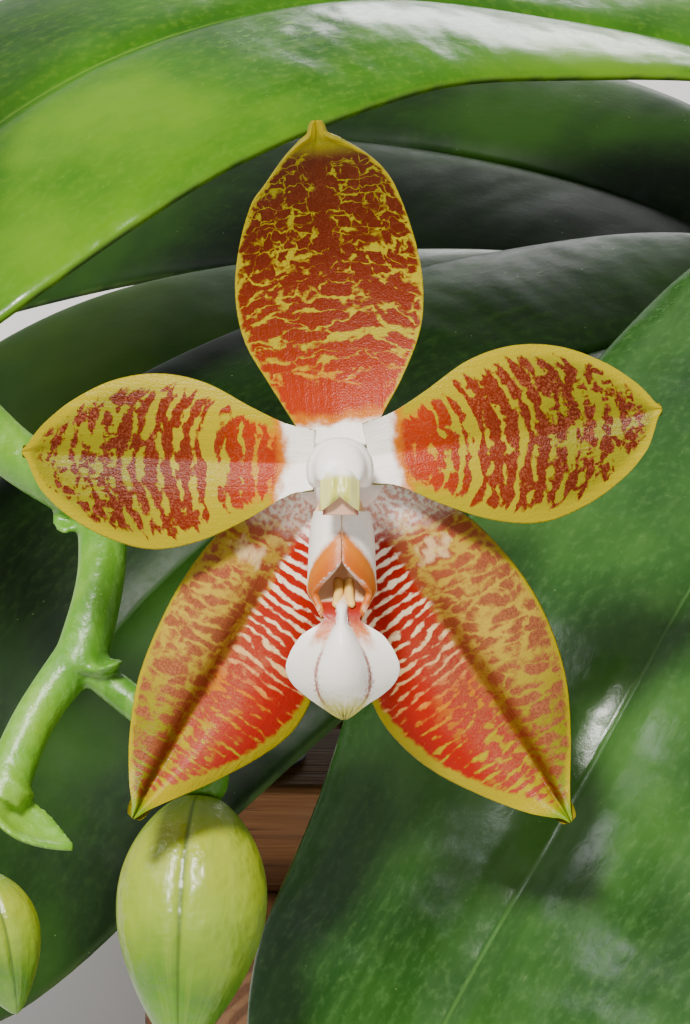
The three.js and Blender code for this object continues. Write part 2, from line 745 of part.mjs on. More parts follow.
const TEPALS = {
  dorsal_sepal: {
    base: [0, 1.9],
    tip: [-1.9, 27.9],
    left: [
      [0, 2.2], [0.08, 3.1], [0.2, 5.2], [0.34, 7], [0.48, 7.5],
      [0.62, 7], [0.78, 5.3], [0.9, 2.9], [0.97, 1], [1, 0.35],
    ],
    right: [
      [0, 2.2], [0.08, 3.1], [0.2, 5.4], [0.34, 7.1], [0.48, 7.6],
      [0.62, 7.1], [0.78, 5.4], [0.9, 2.9], [0.97, 1], [1, 0.35],
    ],
    spine: [[0, -0.4], [0.25, -1.6], [0.6, -2.1], [0.85, -0.8], [1, 0.9]],
    cup: [[0, 0.6], [0.4, 0.9], [0.8, 0.9], [1, 0.1]],
    groove: 0.15,
    bulge: 0,
  },
  lateral_sepal_left: {
    base: [-1.5, -1.9],
    tip: [-16.6, -27.9],
    left: [
      [0, 0.9], [0.08, 2.6], [0.2, 4.9], [0.36, 6.8], [0.5, 7.7], [0.6, 7.6],
      [0.7, 6.3], [0.82, 4], [0.92, 1.7], [0.98, 0.6], [1, 0.35],
    ],
    right: [
      [0, 1.9], [0.08, 3.8], [0.2, 5.4], [0.36, 6.2], [0.52, 6.1],
      [0.68, 5.3], [0.82, 3.6], [0.92, 1.8], [0.98, 0.7], [1, 0.35],
    ],
    spine: [[0, -0.5], [0.3, -2.2], [0.6, -2.7], [0.85, -1.8], [1, -0.5]],
    cup: [[0, 0.2], [0.4, -0.4], [0.8, -0.6], [1, 0]],
    groove: 1.1,
    bulge: 0.9,
  },
  lateral_sepal_right: {
    base: [1.5, -1.9],
    tip: [18.5, -28.2],
    left: [
      [0, 1.9], [0.08, 4.3], [0.2, 6.4], [0.34, 7.4], [0.46, 7.6], [0.58, 7.1],
      [0.7, 5.9], [0.82, 3.8], [0.92, 1.6], [0.98, 0.6], [1, 0.35],
    ],
    right: [
      [0, 0.9], [0.08, 2.6], [0.2, 5], [0.36, 7.2], [0.48, 8.3], [0.58, 8.3],
      [0.7, 7.2], [0.82, 5], [0.92, 2.6], [0.98, 0.8], [1, 0.35],
    ],
    spine: [[0, -0.5], [0.3, -2.2], [0.6, -2.7], [0.85, -1.8], [1, -0.5]],
    cup: [[0, 0.2], [0.4, -0.4], [0.8, -0.6], [1, 0]],
    groove: 1.1,
    bulge: 0.9,
  },
  petal_left: {
    base: [-2.1, 0.5],
    tip: [-25.5, 1.5],
    left: [
      [0, 2.1], [0.08, 2.6], [0.22, 4.7], [0.38, 6.6], [0.54, 7.4],
      [0.7, 6.6], [0.84, 4.9], [0.93, 3], [0.98, 1.1], [1, 0.35],
    ],
    right: [
      [0, 1.7], [0.08, 2.3], [0.22, 4.2], [0.38, 6.1], [0.54, 6.7],
      [0.7, 6], [0.84, 4.2], [0.93, 2.3], [0.98, 0.9], [1, 0.35],
    ],
    spine: [[0, 1], [0.3, 0.5], [0.6, -0.5], [0.85, -0.9], [1, -0.5]],
    cup: [[0, 0.7], [0.4, 0.6], [0.8, 0.2], [1, 0]],
    groove: 0.3,
    bulge: 0.35,
  },
};

// The right petal mirrors the left one, a little broader and with a tip of its own.
TEPALS.petal_right = {
  ...TEPALS.petal_left,
  base: [2.3, 1],
  tip: [25.8, 4.9],
  left: TEPALS.petal_left.right.map(([u, width]) => [u, 1.04 * width]),
  right: TEPALS.petal_left.left,
};

// v runs from -1 on the right-hand edge, seen along the way to the tip, to 1 on the left-hand edge.
function tepalSurface(tepal) {
  const base = new THREE.Vector2(...tepal.base);
  const way = new THREE.Vector2(...tepal.tip).sub(base);
  const side = new THREE.Vector2(-way.y, way.x).normalize();
  const [left, right, spine, cup] = [tepal.left, tepal.right, tepal.spine, tepal.cup].map(through);
  return (u, v) => {
    const w = v > 0 ? left(u) : right(u);
    const rise = Math.sin(Math.PI * Math.min(u * 1.1, 1));
    const z =
      spine(u) +
      cup(u) * v * v -
      tepal.groove * (0.35 + 0.65 * u) * Math.exp(-((v / 0.22) ** 2)) * Math.min(1, 12 * (1 - u) + 0.2) +
      tepal.bulge * rise * Math.sin(Math.PI * Math.abs(v)) -
      1.1 * tepal.bulge * rise * v ** 4;
    return new THREE.Vector3(
      base.x + way.x * u + side.x * v * w,
      base.y + way.y * u + side.y * v * w,
      z,
    );
  };
}

function columnGeometry() {
  const width = through([[0, 1.9], [0.2, 1.9], [0.34, 2.1], [0.55, 2.6], [0.8, 2.4], [1, 1.9]]);
  const height = through([[0, 1.55], [0.2, 1.55], [0.34, 1.9], [0.55, 2.2], [0.8, 1.9], [1, 1.3]]);
  return tube(
    [[0, 0, -1.3], [0, 0.2, 1], [0, 0.6, 3.2], [0, 0.1, 5.4], [0, -1.1, 7.2]],
    (t) => [width(t), height(t)],
    8,
    10,
    new THREE.Vector3(1, 0, 0),
  );
}

function antherCapGeometry() {
  const size = through([[0, 1.75], [0.5, 1.95], [1, 1.2]]);
  return tube(
    [[0, -1.3, 7.55], [0, -1.75, 8.2], [0, -2.4, 8.8]],
    (t) => [size(t), 0.72 * size(t)],
    3,
    8,
    new THREE.Vector3(1, 0, 0),
  );
}

// The lip is one piece: a claw and floor that widen to the keeled mid lobe, a callus, and two lobes that
// stand beside them
const LIP_X = 0.3;
const LIP_TOP = -2.4;
const LIP_LENGTH = 17.1;
const LIP_HALF_WIDTH = [
  [0, 1.6],
  [0.1, 2.3],
  [0.36, 2.7],
  [0.47, 2.3],
  [0.52, 1.6],
  [0.55, 1.2],
  [0.585, 2.5],
  [0.63, 3.7],
  [0.69, 4.3],
  [0.78, 4.5],
  [0.88, 3.6],
  [0.95, 1.8],
  [1, 0.35],
];
const LIP_RISE = [
  [0, 1.3],
  [0.2, 2.2],
  [0.42, 4.2],
  [0.52, 6.4],
  [0.66, 7.2],
  [0.82, 6.4],
  [1, 4.4],
];
const KEEL_RISE = [
  [0, 0],
  [0.46, 0.6],
  [0.6, 1.7],
  [0.82, 1.6],
  [1, 0.3],
];

function lipFloor() {
  const [half, rise, keel] = [LIP_HALF_WIDTH, LIP_RISE, KEEL_RISE].map(through);
  const surface = (u, v) => {
    const ridge = keel(u) * Math.exp(-((v / 0.42) ** 2));
    const fall = 2.4 * Math.max(0, u - 0.5) * v * v;
    return new THREE.Vector3(LIP_X * u + half(u) * v, LIP_TOP - LIP_LENGTH * u, rise(u) + ridge - fall);
  };
  return blade(surface, () => 0.8, 15, 6);
}

// A side lobe stands on the floor's edge and curves in until it nearly meets its twin over the middle.
const SIDE_LOBE_START = 0.9;
const SIDE_LOBE_REACH = [8.6, 4]; // along the floor and along the seam on top
const SIDE_LOBE_HEIGHT = 4.4;
const SIDE_LOBE_HALF_WIDTH = [
  [0, 1.9],
  [2, 2.6],
  [5.5, 2.7],
  [7, 2.6],
  [8.2, 1.9],
  [8.6, 1.4],
];

function sideLobe(sign) {
  const [rise, half] = [LIP_RISE, SIDE_LOBE_HALF_WIDTH].map(through);
  const surface = (u, v) => {
    const up = (v + 1) / 2;
    const turn = (Math.PI / 2) * up;
    const along = u * (SIDE_LOBE_REACH[0] * (1 - up) + SIDE_LOBE_REACH[1] * up);
    const foot = rise((along + SIDE_LOBE_START) / LIP_LENGTH) - 0.5;
    return new THREE.Vector3(
      LIP_X / 2 + sign * (0.06 + half(along) * Math.cos(turn)),
      LIP_TOP - SIDE_LOBE_START - along,
      foot + SIDE_LOBE_HEIGHT * Math.sin(turn),
    );
  };
  return blade(surface, () => -0.6 * sign, 6, 4);
}

function callus() {
  return tube(
    [[LIP_X / 2, -8.2, 3.2], [LIP_X / 2, -9.1, 5.2], [LIP_X / 2, -9.8, 6.8]],
    (t) => [1.1 - 0.5 * t, 0.7 - 0.25 * t],
    3,
    6,
    new THREE.Vector3(1, 0, 0),
  );
}

// The direction that the bloom looks in.
function bloomFace() {
  const tilt = THREE.MathUtils.degToRad(BLOOM_TILT);
  return new THREE.Vector3(0, -Math.cos(tilt), Math.sin(tilt));
}

function bloom() {
  const head = new THREE.Group();
  head.position.copy(BLOOM_CENTRE);
  head.rotation.x = THREE.MathUtils.degToRad(90 - BLOOM_TILT);
  plant.add(head);
  for (const [name, tepal] of Object.entries(TEPALS)) {
    const thickness = (u, v) => TEPAL_THICKNESS * (1 - 0.28 * Math.abs(v));
    place(head, name, blade(tepalSurface(tepal), thickness, 11, 8), "barred");
  }
  place(head, "column", columnGeometry(), "cream");
  place(head, "anther_cap", antherCapGeometry(), "cap");
  place(head, "lip", toGeometry(union([lipFloor(), sideLobe(-1), sideLobe(1), callus()])), "cream");
}

basket();
place(plant, "roots", toGeometry(rootSolid(0)), "root");
place(plant, "bark_mix", toGeometry(barkSolid(rootSolid(ROOT_CLEARANCE))), "bark");
place(plant, "stem", stemGeometry(), "leaf");
leaves();
place(plant, "flower_spike", flowerSpike(), "stalk");
bloom();
for (const row of BUDS) place(plant, row[0], budGeometry(row), "bud");

export default plant;
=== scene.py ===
# A moth orchid, Phalaenopsis amboinensis, in flower in a slatted wooden basket.
# Lengths are in millimetres until a mesh is made, and the mesh is in metres. +Z is up and -Y the front.
import math
from functools import partialmethod

import bmesh
import bpy
import numpy as np
from mathutils import Matrix, Vector


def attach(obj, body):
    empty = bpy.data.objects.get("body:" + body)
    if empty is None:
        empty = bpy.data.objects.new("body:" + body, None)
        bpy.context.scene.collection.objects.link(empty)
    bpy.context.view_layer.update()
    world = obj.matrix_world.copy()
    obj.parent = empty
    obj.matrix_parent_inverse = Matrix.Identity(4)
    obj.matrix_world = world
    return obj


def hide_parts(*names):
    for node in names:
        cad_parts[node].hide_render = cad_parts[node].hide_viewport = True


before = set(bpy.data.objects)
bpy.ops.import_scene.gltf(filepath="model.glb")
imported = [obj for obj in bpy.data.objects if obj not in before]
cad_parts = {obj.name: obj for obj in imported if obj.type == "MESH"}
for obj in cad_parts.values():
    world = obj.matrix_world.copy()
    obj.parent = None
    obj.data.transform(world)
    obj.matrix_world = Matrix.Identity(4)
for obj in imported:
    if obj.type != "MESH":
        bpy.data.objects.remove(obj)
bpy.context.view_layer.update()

MM = 0.001

# Where the bloom is and how it looks, as in the solids

BLOOM_CENTRE = np.array([-68.0, -104.0, 119.0])
BLOOM_TILT = math.radians(25)
BLOOM_RIGHT = np.array([1.0, 0.0, 0.0])
BLOOM_UP = np.array([0.0, math.sin(BLOOM_TILT), math.cos(BLOOM_TILT)])
BLOOM_FACE = np.array([0.0, -math.cos(BLOOM_TILT), math.sin(BLOOM_TILT)])
UPWARD = np.array([0.0, 0.0, 1.0])


def from_bloom(points):
    """Points in the bloom's own frame (right, up, out of its face) taken into the plant's frame."""
    points = np.asarray(points, float)
    return BLOOM_CENTRE + points @ np.stack([BLOOM_RIGHT, BLOOM_UP, BLOOM_FACE])


def bloom_points(x, y, z):
    return from_bloom(np.stack(np.broadcast_arrays(x, y, z), axis=-1))


def in_scene(name, data):
    """A new object of the scene, at the origin."""
    made = bpy.data.objects.new(name, data)
    bpy.context.scene.collection.objects.link(made)
    return made


# The camera looks straight into the bloom, as the photograph does

PHOTO_SIZE = (690, 1024)
PIXEL = 0.08  # how much of the bloom one pixel of the photograph shows
BLOOM_PIXEL = (340, 470)  # where the bloom's centre is in the photograph
CAMERA_DISTANCE = 350.0
SENSOR = 36.0
NEAREST, FARTHEST = 0.01, 20.0  # in metres


def add_camera():
    data = bpy.data.cameras.new("camera")
    data.sensor_width = SENSOR
    data.lens = SENSOR * CAMERA_DISTANCE / (PHOTO_SIZE[1] * PIXEL)
    data.clip_start = NEAREST
    data.clip_end = FARTHEST
    camera = in_scene("camera", data)
    across, down = (PIXEL * (size / 2 - pixel) for size, pixel in zip(PHOTO_SIZE, BLOOM_PIXEL))
    aim = from_bloom([across, -down, 0])
    place = Vector((aim + CAMERA_DISTANCE * BLOOM_FACE) * MM)
    turn = Matrix([BLOOM_RIGHT, BLOOM_UP, BLOOM_FACE]).transposed()
    camera.matrix_world = Matrix.Translation(place) @ turn.to_4x4()
    bpy.context.scene.camera = camera


add_camera()


# Curves and functions


def through(knots):
    """A smooth function through (place, value) knots, level beyond the first and the last."""
    place, value = np.array(knots, float).T
    slope = np.gradient(value, place)
    slope[1:-1] = (value[2:] - value[:-2]) / (place[2:] - place[:-2])

    def at(t):
        t = np.clip(t, place[0], place[-1])
        i = np.clip(np.searchsorted(place, t, side="right") - 1, 0, len(place) - 2)
        span = place[i + 1] - place[i]
        u = (t - place[i]) / span
        rise = u * u * (3 - 2 * u)
        bend = u * (1 - u) ** 2 * slope[i] + u * u * (u - 1) * slope[i + 1]
        return value[i] * (1 - rise) + value[i + 1] * rise + span * bend

    return at


def unit(vectors):
    return vectors / np.linalg.norm(vectors, axis=-1, keepdims=True)


def circle(count):
    """So many angles, evenly round a circle."""
    return np.linspace(0, 2 * math.pi, count, endpoint=False)


def even(thickness):
    """The same thickness all over a blade."""
    return lambda u, v: thickness + 0 * u


def as_vectors(numbers):
    return np.outer(numbers, [1, 0, 0])


class Route:
    """A smooth curve through points, read at a share from 0 to 1 of the way along it."""

    def __init__(self, points):
        points = np.array(points, float)
        self.spans = len(points) - 1
        self.knots = np.vstack([2 * points[:1] - points[1:2], points, 2 * points[-1:] - points[-2:-1]])

    def _spans(self, share):
        share = np.clip(np.asarray(share, float), 0, 1) * self.spans
        i = np.minimum(share.astype(int), self.spans - 1)
        a, b, c, d = (self.knots[i + k] for k in range(4))
        return (share - i)[..., None], b, c, (c - a) / 2, (d - b) / 2

    def at(self, share):
        u, b, c, m, n = self._spans(share)
        return b + u * m + u**2 * (3 * (c - b) - 2 * m - n) + u**3 * (2 * (b - c) + m + n)

    def way(self, share):
        u, b, c, m, n = self._spans(share)
        return unit(m + 2 * u * (3 * (c - b) - 2 * m - n) + 3 * u**2 * (2 * (b - c) + m + n))


# Meshes

MERGE_DISTANCE = 2e-6  # in metres


def add_mesh(name, shells, material, smooth=True):
    """One object of closed shells, each (points, faces, marks). Marks are a vector by name for each point."""
    points = np.vstack([shell[0] for shell in shells]) * MM
    faces = []
    start = 0
    for shell in shells:
        faces.extend([tuple(start + k for k in face) for face in shell[1]])
        start += len(shell[0])
    mesh = bpy.data.meshes.new(name)
    mesh.from_pydata(points.tolist(), [], faces)
    for mark in sorted(set().union(*[shell[2] for shell in shells])):
        values = np.vstack([shell[2].get(mark, np.zeros_like(shell[0])) for shell in shells])
        layer = mesh.attributes.new(mark, "FLOAT_VECTOR", "POINT")
        layer.data.foreach_set("vector", values.astype(np.float32).ravel())
    tidy = bmesh.new()
    tidy.from_mesh(mesh)
    bmesh.ops.remove_doubles(tidy, verts=tidy.verts, dist=MERGE_DISTANCE)
    bmesh.ops.recalc_face_normals(tidy, faces=tidy.faces)
    tidy.to_mesh(mesh)
    tidy.free()
    mesh.polygons.foreach_set("use_smooth", [smooth] * len(mesh.polygons))
    mesh.materials.append(material)
    return in_scene(name, mesh)


def settle(piece, nodes, slot):
    """The piece rides on the plant's one body and stands for its nodes, which it hides. slot is not used."""
    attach(piece, "root")
    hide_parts(*nodes)


def grid_faces(rows, columns, wrap=False):
    faces = []
    for i in range(rows - 1):
        for j in range(columns if wrap else columns - 1):
            k = (j + 1) % columns
            faces.append((i * columns + j, (i + 1) * columns + j, (i + 1) * columns + k, i * columns + k))
    return faces


def loft(rings, caps=(0, 0), marks=None):
    """A closed shell through rings of points, with a fan at each end whose middle stands out by caps."""
    rings = np.asarray(rings, float)
    rows, sides = rings.shape[:2]
    middles = rings.mean(axis=1)
    low = middles[0] + caps[0] * unit(middles[0] - middles[1])
    high = middles[-1] + caps[1] * unit(middles[-1] - middles[-2])
    points = np.vstack([rings.reshape(-1, 3), low, high])
    faces = grid_faces(rows, sides, wrap=True)
    last = (rows - 1) * sides
    for j in range(sides):
        k = (j + 1) % sides
        faces.append((j, k, rows * sides))
        faces.append((last + k, last + j, rows * sides + 1))
    share = np.repeat(np.linspace(0, 1, rows), sides)
    angle = np.tile(np.linspace(0, 1, sides, endpoint=False), rows)
    form = np.column_stack([share, angle, 0 * share])
    form = np.vstack([form, [0, 0.5, 0], [1, 0.5, 0]])
    return points, faces, {"form": form, **(marks or {})}


def tube_rings(route, radii, steps, sides, side=None, section=None):
    """Rings along a route. radii(share) gives half-width, which runs along side or level, and half-height."""
    rings = []
    level = None
    angle = circle(sides)
    for share in np.linspace(0, 1, steps + 1):
        way = route.way(share)
        if side is not None:
            level = unit(side - way * np.dot(side, way))
        elif level is None:
            level = unit(np.cross(UPWARD, way))
        else:
            level = unit(level - way * np.dot(level, way))
        up = unit(np.cross(way, level))
        a, b = radii(share)
        swell = 1 if section is None else section(share, angle)[:, None]
        ring = a * np.cos(angle)[:, None] * level + b * np.sin(angle)[:, None] * up
        rings.append(route.at(share) + swell * ring)
    return rings


def blade(surface, thickness, along, across, blunt=12, reading=None):
    """A thin closed shell under surface(u, v), u from 0 to 1 and v from -1 to 1, thinning out at its sides.

    reading(u, v) is a number that its material needs, kept in the mark of that name.
    """
    u, v = np.meshgrid(np.linspace(0, 1, along + 1), np.linspace(-1, 1, across + 1), indexing="ij")
    v = 0.6 * v + 0.4 * np.sin(v * math.pi / 2)
    top = surface(u, v)
    step = 1e-3
    lengthwise = surface(np.minimum(u + step, 1), v) - surface(np.maximum(u - step, 0), v)
    crosswise = surface(u, np.minimum(v + step, 1)) - surface(u, np.maximum(v - step, -1))
    normal = unit(np.cross(lengthwise, crosswise))
    rim = np.sqrt(np.clip(1 - np.abs(v) ** blunt, 0, 1)) * np.sqrt(np.clip(1 - u**80, 0, 1))
    under = top - normal * (thickness(u, v) * rim)[..., None]
    count = top.shape[0] * top.shape[1]
    faces = grid_faces(along + 1, across + 1)
    faces += [tuple(count + k for k in reversed(face)) for face in faces]
    for j in range(across):
        faces.append((j, j + 1, count + j + 1, count + j))
    points = np.vstack([top.reshape(-1, 3), under.reshape(-1, 3)])
    middle = surface(u[:, :1], np.zeros_like(u[:, :1]))[:, 0]
    length = np.concatenate([[0], np.cumsum(np.linalg.norm(np.diff(middle, axis=0), axis=1))])
    gaps = np.linalg.norm(np.diff(top, axis=1), axis=2)
    reach = np.concatenate([np.zeros((len(gaps), 1)), np.cumsum(gaps, axis=1)], axis=1)
    half = across // 2
    aside = reach - reach[:, half:half + 1]
    edge = np.minimum(reach, reach[:, -1:] - reach)
    lay = np.stack([np.broadcast_to(length[:, None], u.shape), aside, edge], axis=-1).reshape(-1, 3)
    form = np.stack([u, v, np.zeros_like(u)], axis=-1).reshape(-1, 3)
    marks = {"lay": np.vstack([lay, lay]), "form": np.vstack([form, form + [0, 0, 1]])}
    if reading:
        marks["reading"] = as_vectors(np.tile(reading(u, v).ravel(), 2))
    return points, faces, marks


def evaluated(piece, name):
    """The piece's mesh with its modifiers worked in, as a plain object of the same place and materials."""
    graph = bpy.context.evaluated_depsgraph_get()
    mesh = bpy.data.meshes.new_from_object(piece.evaluated_get(graph), depsgraph=graph)
    materials = list(piece.data.materials)
    bpy.data.objects.remove(piece)
    mesh.name = name
    if not mesh.materials:
        for material in materials:
            mesh.materials.append(material)
    return in_scene(name, mesh)


# Node trees


def linear(*levels):
    """The linear colour of one that is given as red, green and blue levels from 0 to 255."""
    shares = (level / 255 for level in levels)
    return (*(s / 12.92 if s < 0.0405 else ((s + 0.055) / 1.055) ** 2.4 for s in shares), 1.0)


class Value:
    """An output of a node. Sums and products of values add the Math nodes that work them out."""

    def __init__(self, tree, socket):
        self.tree = tree
        self.socket = socket

    def _math(self, operation, *others):
        return self.tree.node("Math", dict(enumerate((self, *others))), operation=operation)

    __add__ = __radd__ = partialmethod(_math, "ADD")
    __sub__ = partialmethod(_math, "SUBTRACT")
    __mul__ = __rmul__ = partialmethod(_math, "MULTIPLY")
    __truediv__ = partialmethod(_math, "DIVIDE")
    __pow__ = partialmethod(_math, "POWER")
    __abs__ = partialmethod(_math, "ABSOLUTE")
    sine = partialmethod(_math, "SINE")
    floor = partialmethod(_math, "FLOOR")
    least = partialmethod(_math, "MINIMUM")
    most = partialmethod(_math, "MAXIMUM")
    odd = partialmethod(_math, "FLOORED_MODULO", 2.0)  # 1 for odd numbers and 0 for even ones

    def __rsub__(self, other):
        return self.tree.node("Math", {0: other, 1: self}, operation="SUBTRACT")

    def between(self, low, high):
        """0 where this is below low, 1 above high, and smooth in between. low may be above high."""
        inputs = {"Value": self, "From Min": low, "From Max": high}
        return self.tree.node("MapRange", inputs, interpolation_type="SMOOTHSTEP")

    def parts(self):
        """The three numbers of a vector, or of a colour."""
        split = self.tree.node("SeparateXYZ", {0: self}).socket.node
        return [Value(self.tree, output) for output in split.outputs]


class Nodes:
    """A node tree whose nodes all come from one method."""

    def node(self, kind, inputs=None, output=0, **settings):
        whole = kind.startswith(("GeometryNode", "FunctionNode"))
        made = self.tree.nodes.new(kind if whole else "ShaderNode" + kind)
        for name, value in settings.items():
            setattr(made, name, value)
        for name, value in (inputs or {}).items():
            if isinstance(value, Value):
                self.tree.links.new(value.socket, made.inputs[name])
            elif value is not None:
                made.inputs[name].default_value = value
        return Value(self, made.outputs[output]) if made.outputs else None

    def vector(self, x=0.0, y=0.0, z=0.0):
        return self.node("CombineXYZ", {"X": x, "Y": y, "Z": z})


class Finish(Nodes):
    """A material made of nodes."""

    def __init__(self, name):
        self.material = bpy.data.materials.new(name)
        self.material.use_nodes = True
        self.tree = self.material.node_tree
        self.tree.nodes.clear()

    def place(self, scale=(1, 1, 1)):
        """The point on the object, in millimetres, stretched by scale."""
        return self.scaled(self.node("TexCoord", output="Object"), [s / MM for s in scale])

    def scaled(self, vector, scale, shift=(0, 0, 0)):
        return self.node("Mapping", {"Vector": vector, "Scale": tuple(scale), "Location": tuple(shift)})

    def mark(self, name):
        return self.node("Attribute", output="Vector", attribute_name=name)

    def number(self, name):
        """A mark that is one number."""
        return self.node("Attribute", output="Fac", attribute_name=name)

    def noise(self, vector, scale, detail, rough=0.5, distort=0.0):
        """Noise from 0 to 1, with about so many lumps to a unit of the vector."""
        inputs = {"Vector": vector, "Scale": scale, "Detail": detail, "Roughness": rough}
        return self.node("TexNoise", {**inputs, "Distortion": distort}, "Fac")

    def lumps(self, scale, detail, rough=0.5):
        """Noise through the object, with about so many lumps to a millimetre."""
        return self.noise(self.place(), scale, detail, rough)

    def cells(self, vector, scale, output="Distance"):
        return self.node("TexVoronoi", {"Vector": vector, "Scale": scale}, output)

    def profile(self, value, stops):
        """A number, or a colour where the stops are colours, read off along value."""
        read = self.node("ValToRGB", {"Fac": value})
        elements = read.socket.node.color_ramp.elements
        while len(elements) < len(stops):
            elements.new(1.0)
        for element, (place, shade) in zip(elements, stops):
            element.position = place
            element.color = linear(*shade) if isinstance(shade, tuple) else (shade, shade, shade, 1)
        return read

    def mix(self, share, first, second):
        """The first colour turning into the second with its share. Colours may be levels from 0 to 255."""
        first, second = (linear(*c) if isinstance(c, tuple) else c for c in (first, second))
        return self.node("Mix", {0: share, 6: first, 7: second}, 2, data_type="RGBA")

    def layered(self, color, *layers):
        """The colour with others laid over it in turn, each given as its share and its colour."""
        for share, shade in layers:
            color = self.mix(share, color, shade)
        return color

    def bump(self, height, distance, strength=1.0, normal=None):
        inputs = {"Height": height, "Distance": distance * MM, "Strength": strength, "Normal": normal}
        return self.node("Bump", inputs)

    def bumps(self, *heights):
        """Bumps on top of one another, each given as its height, its distance and its strength."""
        normal = None
        for height, distance, strength in heights:
            normal = self.bump(height, distance, strength, normal)
        return normal

    def finish(self, color, roughness, normal=None, **fixed):
        inputs = {"Base Color": color, "Roughness": roughness, "Normal": normal}
        inputs.update({name.replace("_", " "): value for name, value in fixed.items()})
        self.node("OutputMaterial", {"Surface": self.node("BsdfPrincipled", inputs)})
        return self.material


class Generator(Nodes):
    """A geometry node tree with named inputs, worked on one object and turned into a plain mesh."""

    def __init__(self, name, inputs):
        self.tree = bpy.data.node_groups.new(name, "GeometryNodeTree")
        self.values = {label: value for label, (_, value) in inputs.items()}
        self._add_socket("Geometry", "Geometry")
        for label, (kind, _) in inputs.items():
            self._add_socket(label, kind)
        self._add_socket("Geometry", "Geometry", "OUTPUT")
        self.start = self.tree.nodes.new("NodeGroupInput")
        self.geometry = self.given("Geometry")
        self.index = self.node("GeometryNodeInputIndex")

    def _add_socket(self, label, kind, side="INPUT"):
        self.tree.interface.new_socket(label, in_out=side, socket_type="NodeSocket" + kind)

    def given(self, label):
        return Value(self, self.start.outputs[label])

    def random(self, low, high, seed, kind="FLOAT"):
        """A random value for each index."""
        drawn = self.tree.nodes.new("FunctionNodeRandomValue")
        drawn.data_type = kind
        sockets = [socket for socket in drawn.inputs if socket.enabled]
        for socket, value in zip(sockets, (low, high, self.index, seed)):
            if isinstance(value, Value):
                self.tree.links.new(value.socket, socket)
            else:
                socket.default_value = value
        return Value(self, next(socket for socket in drawn.outputs if socket.enabled))

    def spots(self, count, place):
        """So many points, each at its place."""
        line = self.node("GeometryNodeMeshLine", {"Count": count})
        return self.node("GeometryNodeSetPosition", {"Geometry": line, "Position": place})

    def copies(self, points, instance, **turned):
        inputs = {"Points": points, "Instance": instance, **turned}
        return self.node("GeometryNodeInstanceOnPoints", inputs)

    def numbered(self, copies, name, seed):
        """The copies made real, each with a random number from 0 to 1 kept under a name."""
        inputs = {"Geometry": copies, "Name": name, "Value": self.random(0.0, 1.0, seed)}
        settings = {"data_type": "FLOAT", "domain": "INSTANCE"}
        marked = self.node("GeometryNodeStoreNamedAttribute", inputs, **settings)
        return self.node("GeometryNodeRealizeInstances", {"Geometry": marked})

    def jostled(self, geometry, lumps, detail, reach):
        """The geometry with its points moved by noise, up to half of reach, in so many lumps to a metre."""
        here = self.node("GeometryNodeInputPosition")
        noise = self.node("TexNoise", {"Vector": here, "Scale": lumps, "Detail": detail}, "Color")
        centred = self.node("VectorMath", {0: noise, 1: (0.5, 0.5, 0.5)}, operation="SUBTRACT")
        shift = self.node("VectorMath", {0: centred, "Scale": reach}, operation="SCALE")
        return self.node("GeometryNodeSetPosition", {"Geometry": geometry, "Offset": shift})

    def work(self, piece, result, name):
        """Ends the tree with a real mesh in the piece's material, and gives the piece worked into it."""
        real = self.node("GeometryNodeRealizeInstances", {"Geometry": result})
        skin = {"Geometry": real, "Material": piece.data.materials[0]}
        dressed = self.node("GeometryNodeSetMaterial", skin)
        end = self.tree.nodes.new("NodeGroupOutput")
        self.tree.links.new(dressed.socket, end.inputs["Geometry"])
        modifier = piece.modifiers.new(name, "NODES")
        modifier.node_group = self.tree
        for item in self.tree.interface.items_tree:
            if item.in_out == "INPUT" and item.name in self.values:
                modifier[item.identifier] = self.values[item.name]
        return evaluated(piece, name)


# Finishes of the bloom


class Ground(Finish):
    """A finish of a thin blade: u and v run over it, lay is millimetres along, aside and from the edge."""

    shift = (0, 0, 0)

    def __init__(self, name):
        super().__init__(name)
        self.u, self.v, self.under = self.mark("form").parts()
        self.lay = self.mark("lay")
        self.along, self.aside, self.edge = self.lay.parts()

    def cloud(self, along, aside, detail=2.0, rough=0.5, shift=None):
        """Noise with so many lumps to a millimetre along and across."""
        stretched = self.scaled(self.lay, (along, aside, 0), shift or self.shift)
        return self.noise(stretched, 1, detail, rough)


YELLOW = (156, 140, 0)
OLIVE = (122, 116, 8)
LIME = (104, 130, 12)
ORANGE = (190, 108, 0)
CREAM = (226, 196, 140)
WHITE = (250, 244, 234)
SAND = (172, 142, 44)
# the pink of painted sheen and painted glints on the tepals
PAINTED_SHEEN_PINK = (150, 82, 52)
ROSE = (150, 56, 44)
DARK_BROWN = (62, 24, 2)
RED_BROWN = (84, 24, 2)
BRICK = (116, 34, 3)
VERMILION = (156, 42, 0)
SCARLET = (154, 18, 0)
PURPLE_BROWN = (118, 56, 40)


